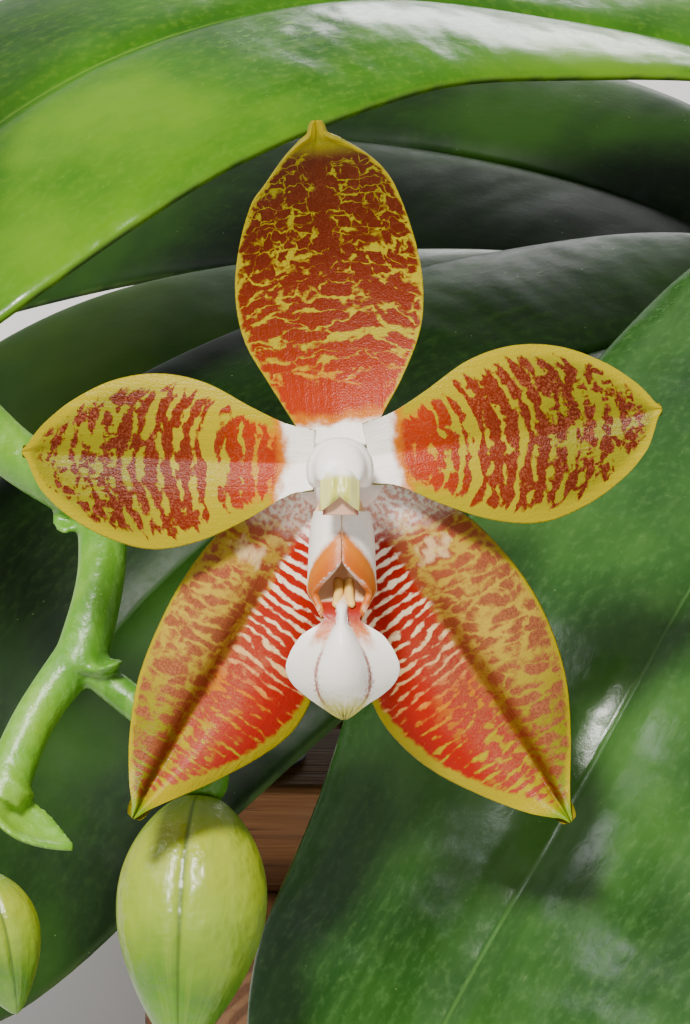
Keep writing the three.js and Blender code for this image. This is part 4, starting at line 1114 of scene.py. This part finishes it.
def callus_shells():
    """Two small teeth side by side, between the side lobes."""
    shells = []
    for aside in (-0.42, 0.42):
        x = LIP_X / 2 + 0.15 + aside
        route = Route(from_bloom([(x, -8.9, 3.4), (x, -9.8, 5.0), (x + aside * 0.5, -10.7, 6.0)]))
        rings = tube_rings(route, lambda t: (0.46 - 0.16 * t, 0.45 - 0.2 * t), 8, 14, BLOOM_RIGHT)
        shells.append(parted(loft(rings, (0, 0.3)), 2))
    return shells


# The flower spike, with its bracts, its pedicels and the ovary behind the bloom

PEDUNCLE = [(-6.4, 6.4, 98), (-13, 15, 108), (-22, 32, 130), (-34, 40, 156), (-55, 36, 183), (-80, 14, 197),
            (-101, -22, 190), (-112, -55, 165), (-110, -76, 138), (-103, -84, 122), (-96.6, -86.6, 113.7)]
NODE_BLOOM = (-88.2, -88.9, 108.7)
NODE_BUD = (-89.8, -96.1, 98)
NODE_SMALL_BUD = (-95.7, -104.3, 89.9)
RACHIS_TIP = (-103.5, -107, 84)
RACHIS_RADIUS = 2.4
PEDICEL_RADIUS = 1.35
OVARY_RADIUS = 2.1

# Each bract is seat, direction, length, half-width.
BRACTS = [
    ((-96.4, -105.4, 89.4), (0.75, -0.35, -0.55), 7.6, 2.8),
    ((-88, -97.4, 97.6), (0.5, -0.6, 0.2), 2.8, 1.7),
    ((-90.3, -88.6, 108), (-0.3, -0.75, -0.5), 2.8, 1.8),
    ((-104, -107.6, 84), (0.1, -0.7, -0.6), 4.5, 2),
    ((-24.5, 34.5, 136), (-0.25, 0.25, 0.9), 13, 3.4),
    ((-72.5, 22, 196.4), (-0.75, -0.6, 0.25), 12, 3.2),
]

# Each bud is its node, top, tip, half-width across the view and half-width in depth.
BUDS = {
    "bud_large": (NODE_BUD, (-79.6, -104.5, 89.5), (-81, -119.5, 74.2), 6.2, 5.6),
    "bud_small": (NODE_SMALL_BUD, (-97.6, -109, 85), (-94.5, -115.5, 75.5), 3.7, 3.4),
    "bud_tip": (RACHIS_TIP, (-107.2, -110, 80.4), (-108.5, -113.6, 75.4), 2.3, 2.1),
}

# Where the seams between its sepals run round a bud, in radians
BUD_SEAMS = (1.62, 3.7, 5.8)

# The spike's shells are grown together through cells of this size, then smoothed.
CELL = 0.3
SMOOTHING = 6


def round_tube(points, radius, steps):
    return loft(tube_rings(Route(points), lambda t: (radius(t), radius(t)), steps, 20), (0.3, 0.3))


def bract_shell(seat, along, length, half_width):
    """A boat-shaped bract from its seat along a direction."""
    direction = unit(np.array(along, float))
    side = unit(np.cross(direction, UPWARD))
    back = np.cross(side, direction)

    def surface(u, v):
        w = half_width * np.sin(math.pi * (0.28 + 0.68 * u))
        lift = 0.45 * w * (v * v - 1) + 0.18 * length * u * u + 0.5
        middle = np.array(seat) + direction * (length * u)[..., None]
        return middle + side * (w * v)[..., None] + back * lift[..., None]

    return blade(surface, lambda u, v: 0.8 * (1 - 0.4 * u), 20, 16)


def internode_shell(start, end, radius, bow):
    start, end = np.array(start), np.array(end)
    way = unit(end - start)
    points = [start - 1.6 * way, (start + end) / 2 + bow, end + 1.2 * way]
    return round_tube(points, lambda t: radius * (1 - 0.15 * math.sin(math.pi * t)), 14)


def spike_shells():
    shells = [round_tube([*PEDUNCLE, NODE_BLOOM], lambda t: RACHIS_RADIUS * (1.08 - 0.16 * t), 110)]
    joints = [NODE_BLOOM, NODE_BUD, NODE_SMALL_BUD, RACHIS_TIP]
    for k, (start, end) in enumerate(zip(joints, joints[1:])):
        bow = np.array([-0.7 if k % 2 else 0.9, 0.5, 0.3])
        shells.append(internode_shell(start, end, RACHIS_RADIUS * (1.0 - 0.1 * k), bow))
    for node, top, tip, _, _ in BUDS.values():
        top, axis = np.array(top), unit(np.array(tip, float) - top)
        shells.append(round_tube([node, top - 3 * axis, top], lambda t: PEDICEL_RADIUS * (1 + 0.25 * t), 14))
    behind = [BLOOM_CENTRE - depth * BLOOM_FACE for depth in (1.75, 4.5)]
    thinning = PEDICEL_RADIUS - OVARY_RADIUS
    points = [*behind, (-70.5, -94, 114.5), (-78, -89.6, 111.6), NODE_BLOOM]
    shells.append(round_tube(points, lambda t: OVARY_RADIUS + thinning * min(1, t * 1.6), 24))
    return shells + [bract_shell(*row) for row in BRACTS]


def spike(material):
    """The spike's shells grown together."""
    piece = add_mesh("spike_shells", spike_shells(), material)
    grow = piece.modifiers.new("grow", "REMESH")
    grow.mode = "VOXEL"
    grow.voxel_size = CELL * MM
    ease = piece.modifiers.new("ease", "SMOOTH")
    ease.factor = 0.5
    ease.iterations = SMOOTHING
    piece = evaluated(piece, "spike_and_pedicels")
    piece.data.polygons.foreach_set("use_smooth", [True] * len(piece.data.polygons))
    settle(piece, ["flower_spike"], "stalk")


def bud(name, material):
    """An egg of overlapping sepals, pinched a little along its seams."""
    _, top, tip, half_width, half_depth = BUDS[name]
    top, tip = np.array(top), np.array(tip)
    route = Route([top + 0.3 * unit(tip - top), (top + tip) / 2, tip])
    steps, sides = 60, 120

    def radii(t):
        swell = math.sin(math.pi * (0.07 + 0.91 * t**0.85)) ** 0.8
        return half_width * swell, half_depth * swell

    def seams(angle):
        return sum(np.exp(-((np.angle(np.exp(1j * (angle - a))) / 0.07) ** 2)) for a in BUD_SEAMS)

    def section(share, angle):
        return 1 - 0.06 * seams(angle) * math.sin(math.pi * share) ** 0.5

    rings = tube_rings(route, radii, steps, sides, None, section)
    marks = {"seam": as_vectors(np.append(np.tile(seams(circle(sides)), steps + 1), [0, 0]))}
    settle(add_mesh(name + "_sepals", [loft(rings, (0.2, 0.2), marks)], material), [name], "bud")


# The stem in its leaf bases

STEM_RADIUS = 7.6
STEM_BASE, STEM_TOP = 71.0, 112.0
LEAF_BASES = 9


def stem(material):
    at = np.linspace(0, 1, 60)[:, None]
    angle = circle(72)[None, :]
    step = at * LEAF_BASES + 0.5 * np.cos(angle)
    ledge = step - np.floor(step)
    radius = STEM_RADIUS * (1 - 0.45 * at**5) * (0.95 + 0.05 * ledge) * np.where(at == 0, 0.8, 1)
    height = np.broadcast_to(STEM_BASE + (STEM_TOP - STEM_BASE) * at, radius.shape)
    rings = np.stack([radius * np.cos(angle), radius * np.sin(angle), height], axis=-1)
    marks = {"ledge": as_vectors(np.append(ledge.ravel(), [0, 0]))}
    settle(add_mesh("stem_sheaths", [loft(rings, (0, 0), marks)], material), ["stem"], "stem")


def spike_finish(name):
    """Smooth green in clouds of three shades, with long pale fibres and a bloom of fine dots."""
    skin = Finish(name)
    clouds = skin.lumps(0.12, 3)
    fibres = skin.noise(skin.place((1.1, 1.1, 0.12)), 1, 3)
    green = [(0.3, (70, 124, 24)), (0.5, (88, 142, 32)), (0.7, (118, 160, 36))]
    color = skin.layered(
        skin.profile(clouds, green),
        (fibres.between(0.4, 0.75) * 0.35, (132, 178, 76)),
        (skin.cells(skin.place(), 1.6).between(0.16, 0.08) * 0.25, (176, 196, 120)),
    )
    normal = skin.bumps((skin.lumps(0.9, 3), 0.25, 0.6), (fibres, 0.1, 0.5))
    return skin.finish(color, 0.3 + fibres * 0.15, normal)


def bud_finish(name):
    """Green sepals shut in a bud: yellower above, with patches of painted olive-brown shade on its upper
    middle and painted shade in its seams, warty in patches.
    """
    skin = Finish(name)
    share, angle, _ = skin.mark("form").parts()
    clouds = skin.lumps(0.16, 3)
    fibres = skin.noise(skin.vector(share * 2.0, angle * 40.0), 1, 3)
    warts = skin.lumps(1.5, 2)
    green = [
        (0, (96, 122, 20)), (0.25, (146, 158, 28)), (0.5, (132, 156, 34)), (0.8, (74, 116, 26)),
        (1, (96, 138, 40))]
    # Painted shade: olive-brown patches over the bud's upper middle.
    painted_upper_shade = clouds.between(0.55, 0.72) * share.between(0.1, 0.25) * share.between(0.6, 0.35)
    seam = skin.mark("seam").parts()[0]
    color = skin.layered(
        skin.profile(share + (clouds - 0.5) * 0.4, green),
        (fibres.between(0.4, 0.7) * 0.25, (140, 158, 60)),
        (painted_upper_shade * 0.5, (116, 92, 20)),
        # painted shade darkening the seams' grooves
        (seam.between(0.45, 1) * 0.7, (52, 78, 14)),
    )
    normal = skin.bumps(
        (warts * clouds.between(0.42, 0.6), 0.25, 0.5),
        (skin.lumps(0.4, 2), 0.8, 0.5),
        (fibres, 0.12, 0.5),
    )
    return skin.finish(color, 0.28 + warts * 0.12, normal)


def stem_finish(name):
    """Leaf bases clasping the stem: green, with dry brown edges."""
    skin = Finish(name)
    share, angle, _ = skin.mark("form").parts()
    ledge = skin.mark("ledge").parts()[0]
    veins = skin.noise(skin.vector(share * 3.0, angle * 60.0), 1, 3)
    clouds = skin.lumps(0.2, 3)
    dry = (ledge + (clouds - 0.5) * 0.3).between(0.86, 0.98)
    color = skin.layered(
        (52, 84, 26),
        (veins.between(0.35, 0.7) * 0.5, (92, 118, 48)),
        (share.between(0.35, 0.0) * clouds.between(0.3, 0.6), (112, 96, 58)),
        (dry, (122, 88, 50)),
    )
    return skin.finish(color, 0.42 + dry * 0.3, skin.bump(veins, 0.25, 0.6))


column_shells = [column_shell(), foot_shell(), stigma_shell()]
lip_shells = [lip_floor_shell(), side_lobe_shell(-1), side_lobe_shell(1), *callus_shells()]
for piece_name, shells, skin, node in (
    ("column_and_stigma", column_shells, column_finish("column_skin"), "column"),
    ("anther_cap_helmet", [cap_shell()], cap_finish("cap_skin"), "anther_cap"),
    ("lip_and_lobes", lip_shells, lip_finish("lip_skin"), "lip"),
):
    settle(add_mesh(piece_name, shells, skin), [node], node)
spike(spike_finish("spike_skin"))
bud_skin = bud_finish("bud_skin")
for bud_name in BUDS:
    bud(bud_name, bud_skin)
stem(stem_finish("stem_skin"))


# The basket: rails laid crosswise in layers, floor slats on the lowest pair, a wire rod down each corner

SLAT_HEIGHT = 11.0
SLAT_WIDTH = 12.0
SLAT_ROUNDING = 1.1
RAIL_LENGTH = 172.0
RAIL_OFFSET = 74.0
LAYERS = 7
FLOOR_SLATS = 4
FLOOR_SLAT_PITCH = 29.0
WAVINESS = 0.5
ROD_RADIUS = 1.2
ROD_HEAD_RADIUS = 3.0
ROD_FOOT = 1.0
SEAT_GAP = 0.3
RAIL_NAMES = [
    f"basket_rail_{side}_{layer + 1}"
    for layer in range(LAYERS)
    for side in (("left", "right") if layer % 2 else ("front", "back"))
]
SLAT_NAMES = [f"basket_floor_slat_{k + 1}" for k in range(FLOOR_SLATS)]
ROD_NAMES = [f"corner_rod_{y}_{x}" for y in ("front", "back") for x in ("left", "right")]


def sawn_bar(name, material):
    """One bar along X on the origin, with rounded edges; lay holds the places of its grain."""
    form = bmesh.new()
    bmesh.ops.create_cube(form, size=1)
    bmesh.ops.scale(form, vec=(RAIL_LENGTH, SLAT_WIDTH, SLAT_HEIGHT), verts=form.verts)
    bmesh.ops.translate(form, vec=(0, 0, SLAT_HEIGHT / 2), verts=form.verts)
    bmesh.ops.bevel(form, geom=form.edges[:], offset=SLAT_ROUNDING, segments=3, profile=0.6, affect="EDGES")
    for cut in np.arange(-RAIL_LENGTH / 2 + 6, RAIL_LENGTH / 2 - 5, 5):
        whole = form.verts[:] + form.edges[:] + form.faces[:]
        bmesh.ops.bisect_plane(form, geom=whole, plane_co=(cut, 0, 0), plane_no=(1, 0, 0))
    form.verts.index_update()
    points = np.array([v.co[:] for v in form.verts])
    order = np.lexsort(np.round(points, 3).T)  # the bevel's own order changes from run to run
    rank = np.argsort(order).tolist()
    faces = sorted(tuple(rank[v.index] for v in face.verts) for face in form.faces)
    form.free()
    return add_mesh(name, [(points[order], faces, {"lay": points[order]})], material)


def laid_bars(name, material, nodes, place, turn, seed):
    """A copy of one bar for each node, put at place(tree), turned by turn(tree) and a little wavy."""
    inputs = {"Count": ("Int", len(nodes)), "Waviness": ("Float", WAVINESS * MM), "Seed": ("Int", seed)}
    tree = Generator(name, inputs)
    spots = tree.spots(tree.given("Count"), place(tree))
    bars = tree.copies(spots, tree.geometry, Rotation=tree.vector(z=turn(tree)))
    real = tree.numbered(bars, "bar", tree.given("Seed"))
    bent = tree.jostled(real, 25.0, 1.0, tree.given("Waviness"))
    settle(tree.work(sawn_bar(name, material), bent, name), nodes, "basket_wood")


def rail_place(tree):
    layer = (tree.index / 2).floor()
    aside = (tree.index.odd() * 2 - 1) * (RAIL_OFFSET * MM)
    return tree.vector(aside * layer.odd(), aside * (1 - layer.odd()), layer * (SLAT_HEIGHT * MM))


def rail_turn(tree):
    return (tree.index / 2).floor().odd() * (math.pi / 2) + tree.index.odd() * math.pi


def slat_place(tree):
    return tree.vector((tree.index - (FLOOR_SLATS - 1) / 2) * (FLOOR_SLAT_PITCH * MM), 0.0, SLAT_HEIGHT * MM)


def slat_turn(tree):
    return tree.index.odd() * math.pi + math.pi / 2


def rods(material):
    """Each rod ends in a flattened head on the top rail."""
    top = LAYERS * SLAT_HEIGHT + SEAT_GAP
    outline = [(0.9, ROD_FOOT), (ROD_RADIUS, ROD_FOOT + 0.3), (ROD_RADIUS, top), (ROD_HEAD_RADIUS, top),
               (ROD_HEAD_RADIUS, top + 0.35), (ROD_HEAD_RADIUS * 0.85, top + 0.8), (1.2, top + 1)]
    angle = circle(24)
    rings = [np.column_stack([r * np.cos(angle), r * np.sin(angle), z + 0 * angle]) for r, z in outline]
    tree = Generator("corner_rods", {"Offset": ("Float", RAIL_OFFSET * MM)})
    spread = tree.given("Offset")
    across = (tree.index.odd() * 2 - 1) * spread
    back = ((tree.index / 2).floor() * 2 - 1) * spread
    upright = tree.copies(tree.spots(len(ROD_NAMES), tree.vector(across, back)), tree.geometry)
    rod = add_mesh("corner_rod", [loft(rings)], material)
    settle(tree.work(rod, upright, "corner_rods"), ROD_NAMES, "rod_wire")


# The bark chips that fill the basket

BARK_TOP = 67.0
BARK_FLOOR = 2 * SLAT_HEIGHT + SEAT_GAP
BARK_ROOM = RAIL_OFFSET - SLAT_WIDTH / 2 - SEAT_GAP
BARK_CORE = BARK_ROOM - 5
CHIP = (21.0, 13.0, 6.5)
CHIPS_PER_SQUARE_METRE = 9500.0
CHIP_RAGGEDNESS = 5.0


def bark(material):
    """A core with chips strewn over it at random, pressed flat where the rails hold them."""
    half = BARK_CORE
    corners = np.array([(half, half), (-half, half), (-half, -half), (half, -half)])
    rings = [np.column_stack([corners, np.full(4, z)]) for z in (BARK_FLOOR + 2, BARK_TOP - 2)]
    core = add_mesh("bark_core", [loft(rings)], material, smooth=False)
    tree = Generator("bark_chips", {
        "Chips per square metre": ("Float", CHIPS_PER_SQUARE_METRE),
        "Chip size": ("Vector", tuple(c * MM for c in CHIP)),
        "Room": ("Float", (BARK_ROOM - 0.2) * MM),
        "Seed": ("Int", 5),
    })
    density, room = tree.given("Chips per square metre"), tree.given("Room")
    scatter = {"Mesh": tree.geometry, "Density": density, "Seed": tree.given("Seed")}
    points = tree.node("GeometryNodeDistributePointsOnFaces", scatter)
    facing = Value(tree, points.socket.node.outputs["Rotation"])
    block = {"Size": tree.given("Chip size"), "Vertices X": 5, "Vertices Y": 4, "Vertices Z": 3}
    chip = tree.node("GeometryNodeMeshCube", block)
    scale = tree.random((0.55, 0.6, 0.6), (1.25, 1.2, 1.3), 11, "FLOAT_VECTOR")
    strewn = tree.copies(points, chip, Rotation=facing, Scale=scale)
    tilt = tree.random((-0.45, -0.45, -3.14), (0.45, 0.45, 3.14), 12, "FLOAT_VECTOR")
    tilted = tree.node("GeometryNodeRotateInstances", {"Instances": strewn, "Rotation": tilt})
    painted_sheen = tree.jostled(tree.numbered(tilted, "chip", 13), 160.0, 2.0, CHIP_RAGGEDNESS * MM)
    x, y, z = tree.node("GeometryNodeInputPosition").parts()
    inside = tree.vector(
        x.least(room).most(0 - room),
        y.least(room).most(0 - room),
        z.least((BARK_TOP + 6) * MM).most((BARK_FLOOR + 0.2) * MM),
    )
    pressed = tree.node("GeometryNodeSetPosition", {"Geometry": painted_sheen, "Position": inside})
    both = tree.node("GeometryNodeJoinGeometry")
    for part in (pressed, tree.geometry):
        tree.tree.links.new(part.socket, both.socket.node.inputs[0])
    settle(tree.work(core, both, "bark_chips"), ["bark_mix"], "bark")


# The roots

CROWN_HEIGHT = 66.0
ROOT_RADIUS = 2.6
KNOBBLINESS = 0.7

# Each root is start angle in degrees, reach, sideways wander and whether it goes over the rim.
ROOTS = [
    (-122, 50, 5, False), (-78, 46, -5, False), (-32, 52, 6, False), (14, 96, 5, True),
    (62, 48, -5, False), (110, 54, 6, False), (150, 50, -5, False), (196, 97, -10, True),
]

# The way of a root that goes over the rim or stays in the bark: share of its reach, share of its wander,
# height over the crown.
ROOT_WAYS = {
    True: [(0.4, 1, 5), (0.66, 0.2, 10), (0.8, 0.4, 14.6), (0.92, 0.6, 7), (0.96, 0.8, -12), (1, 1.2, -34)],
    False: [(0.45, 1, 4), (0.75, -0.4, 5), (1, 0.3, -8)],
}


def root_route(angle, reach, wander, over):
    out = np.array([math.cos(math.radians(angle)), math.sin(math.radians(angle)), 0])
    aside = np.cross(UPWARD, out)
    steps = [(3, 0, -2), (11, 0.2 * wander, 1)]
    steps += [(far * reach, bent * wander, lift) for far, bent, lift in ROOT_WAYS[over]]
    return Route([out * r + aside * s + UPWARD * (CROWN_HEIGHT + lift) for r, s, lift in steps])


def root_paths():
    """The points, half-thicknesses and shares of the way of each root, and of the crown."""
    share = np.linspace(0, 1, 90)
    girth = ROOT_RADIUS * (1 - 0.35 * share**4) * np.sqrt(np.clip(1 - share**60, 0.01, 1))
    paths = [(root_route(*row).at(share), girth, share) for row in ROOTS]
    share = np.linspace(0, 1, 20)
    low = CROWN_HEIGHT - 8
    crown = np.outer(low + (STEM_BASE - SEAT_GAP - low) * share, UPWARD)
    girth = 5.5 + 2.5 * np.sin(math.pi * np.minimum(share + 0.15, 1))
    return [*paths, (crown, girth, 0 * share)]


def roots(material):
    """Round roots skinned along their routes from the crown, thinning to blunt tips."""
    mesh = bpy.data.meshes.new("root_routes")
    paths = root_paths()
    edges = []
    start = 0
    for points, _, _ in paths:
        edges += [(k, k + 1) for k in range(start, start + len(points) - 1)]
        start += len(points)
    points, girth, along = (np.concatenate(column) for column in zip(*paths))
    mesh.from_pydata((points * MM).tolist(), edges, [])
    for label, values in (("girth", girth.astype(np.float32) * MM), ("along", along.astype(np.float32))):
        mesh.attributes.new(label, "FLOAT", "POINT").data.foreach_set("value", values)
    mesh.materials.append(material)
    tree = Generator("root_skin", {"Sides": ("Int", 18), "Knobbliness": ("Float", KNOBBLINESS * MM)})
    routes = tree.node("GeometryNodeMeshToCurve", {"Mesh": tree.geometry})
    ring = {"Resolution": tree.given("Sides"), "Radius": 1.0}
    profile = tree.node("GeometryNodeCurvePrimitiveCircle", ring)
    girth = tree.node("GeometryNodeInputNamedAttribute", {"Name": "girth"}, data_type="FLOAT")
    skin = {"Curve": routes, "Profile Curve": profile, "Scale": girth, "Fill Caps": True}
    tubes = tree.node("GeometryNodeCurveToMesh", skin)
    knobbly = tree.jostled(tubes, 180.0, 2.0, tree.given("Knobbliness"))
    settle(tree.work(in_scene("root_routes", mesh), knobbly, "roots_in_velamen"), ["roots"], "root")


def wood_finish(name):
    """Weathered hardwood: long grain on the sides, rings on the ends, grey and a little green from wet."""
    skin = Finish(name)
    bar = skin.number("bar")
    along, across, height = skin.mark("lay").parts()
    log = skin.vector(along * 0.018 + bar * 71, across * 0.55 + bar * 13, height * 0.55)
    grain = skin.noise(log, 1, 4, 0.6, 0.4)
    pores = skin.noise(skin.scaled(log, (6, 4, 4)), 1, 2)
    brown = [(0.3, (74, 44, 24)), (0.45, (112, 70, 38)), (0.6, (134, 88, 50)), (0.75, (96, 58, 32))]
    end = abs(along).between(RAIL_LENGTH / 2 - 0.6, RAIL_LENGTH / 2 - 0.1)
    rings = ((across + 9) ** 2 + (height + 5 + bar * 6) ** 2) ** 0.5
    ring = (rings * 4.2 + (grain - 0.5) * 3).sine().between(-0.6, 0.9)
    patches = skin.noise(skin.place((0.03, 0.03, 0.05)), 1, 3, 0.6)
    damp = (skin.place().parts()[2] + (patches - 0.5) * 60).between(26, 4)
    color = skin.layered(
        skin.profile(grain, brown),
        (bar * 0.4, (126, 94, 66)),
        (pores.between(0.58, 0.7) * 0.6, (50, 30, 18)),
        (end * 0.8, skin.mix(ring, (84, 54, 34), (120, 88, 60))),
        (patches.between(0.5, 0.7) * 0.45, (124, 116, 104)),
        (damp * 0.4, (52, 50, 28)),
    )
    normal = skin.bumps((grain, 0.5, 0.6), (pores, 0.2, 0.6))
    return skin.finish(color, 0.62 + grain * 0.2, normal, Specular_IOR_Level=0.3)


def wire_finish(name):
    """Dull galvanised wire, a little rusty."""
    skin = Finish(name)
    spangle = skin.cells(skin.place(), 0.9, "Color").parts()[0]
    rust = skin.lumps(0.35, 3).between(0.55, 0.68)
    zinc = skin.mix(spangle, (120, 122, 124), (158, 160, 160))
    normal = skin.bump(skin.lumps(1.2, 2), 0.1, 0.5)
    rough = 0.42 + spangle * 0.15 + rust * 0.3
    return skin.finish(skin.mix(rust * 0.6, zinc, (104, 62, 34)), rough, normal, Metallic=0.85)


def bark_finish(name):
    """Chips of bark, each with its own brown, flaky in layers, with pale dusty crumbs here and there."""
    skin = Finish(name)
    flakes = skin.noise(skin.place((0.3, 0.3, 1.1)), 1, 4, 0.6)
    crumbs = skin.lumps(1.3, 2)
    brown = [(0, (44, 24, 14)), (0.35, (72, 42, 26)), (0.7, (98, 62, 38)), (1, (126, 90, 60))]
    color = skin.layered(
        skin.profile(skin.number("chip"), brown),
        (flakes.between(0.4, 0.65) * 0.6, (36, 20, 12)),
        (crumbs.between(0.58, 0.72) * 0.35, (140, 112, 84)),
    )
    normal = skin.bumps((flakes, 1.0, 0.7), (crumbs, 0.4, 0.6))
    return skin.finish(color, 0.85, normal, Specular_IOR_Level=0.2)


def root_finish(name):
    """Silvery velamen over green, with growing green tips and lines of wear."""
    skin = Finish(name)
    along = skin.number("along")
    clouds = skin.lumps(0.22, 3)
    mottle = skin.lumps(1.0, 3)
    tip = (along + (mottle - 0.5) * 0.02).between(0.925, 0.945)
    color = skin.layered(
        (142, 148, 128),
        (mottle.between(0.35, 0.7), (186, 188, 174)),
        (clouds.between(0.45, 0.65) * 0.6, (104, 124, 72)),
        (clouds.between(0.42, 0.3) * 0.5, (134, 112, 84)),
        (tip, skin.mix(along.between(0.95, 1), (96, 128, 40), (112, 70, 44))),
    )
    return skin.finish(color, 0.7 - tip * 0.35, skin.bump(mottle, 0.3, 0.6), Specular_IOR_Level=0.3)


wood = wood_finish("basket_wood")
laid_bars("basket_rails", wood, RAIL_NAMES, rail_place, rail_turn, 3)
laid_bars("basket_floor_slats", wood, SLAT_NAMES, slat_place, slat_turn, 4)
rods(wire_finish("rod_wire"))
bark(bark_finish("bark"))
roots(root_finish("root_velamen"))


# Floor and lights

FLOOR_HALF = 3000.0
FLOOR_COLOR = linear(226, 224, 219)
LIGHT_DISTANCE = 800.0
SKY_COLOR = (0.93, 0.94, 0.96, 1)
SKY_STRENGTH = 0.5


def off_bloom(right, up, out):
    """The place of a light that stands that way from the bloom."""
    return from_bloom(LIGHT_DISTANCE * unit(np.array([right, up, out])))


# Each light is its place, the point it is aimed at, its size, its power and its colour.
LIGHTS = {
    "key": (off_bloom(-0.24, 0.64, 0.73), BLOOM_CENTRE, 160, 13.5, (1.0, 0.97, 0.92)),
    "fill": ((420, -700, 420), (0, 0, 90), 700, 0.6, (0.93, 0.97, 1.0)),
    "rim": (off_bloom(0.14, 0.62, -0.77), (0, 0, 110), 240, 1.6, (1.0, 1.0, 1.0)),
    "side": (off_bloom(-0.68, 0.7, 0.2), BLOOM_CENTRE, 180, 1.0, (0.95, 0.98, 1.0)),
}


def add_area(name, place, aim, size, power, color):
    data = bpy.data.lights.new(name, "AREA")
    data.size = size * MM
    data.energy = power
    data.color = color
    light = in_scene(name, data)
    light.location = Vector(place) * MM
    light.rotation_euler = (Vector(aim) - Vector(place)).to_track_quat("-Z", "Y").to_euler()


def add_stage():
    half = FLOOR_HALF * MM
    corners = [(-half, -half, 0), (half, -half, 0), (half, half, 0), (-half, half, 0)]
    mesh = bpy.data.meshes.new("floor")
    mesh.from_pydata(corners, [], [(0, 1, 2, 3)])
    mesh.materials.append(Finish("floor").finish(FLOOR_COLOR, 0.8))
    in_scene("floor", mesh)
    for name, light in LIGHTS.items():
        add_area(name, *light)
    world = bpy.data.worlds.new("surroundings")
    world.use_nodes = True
    background = world.node_tree.nodes["Background"]
    background.inputs["Color"].default_value = SKY_COLOR
    background.inputs["Strength"].default_value = SKY_STRENGTH
    bpy.context.scene.world = world


add_stage()
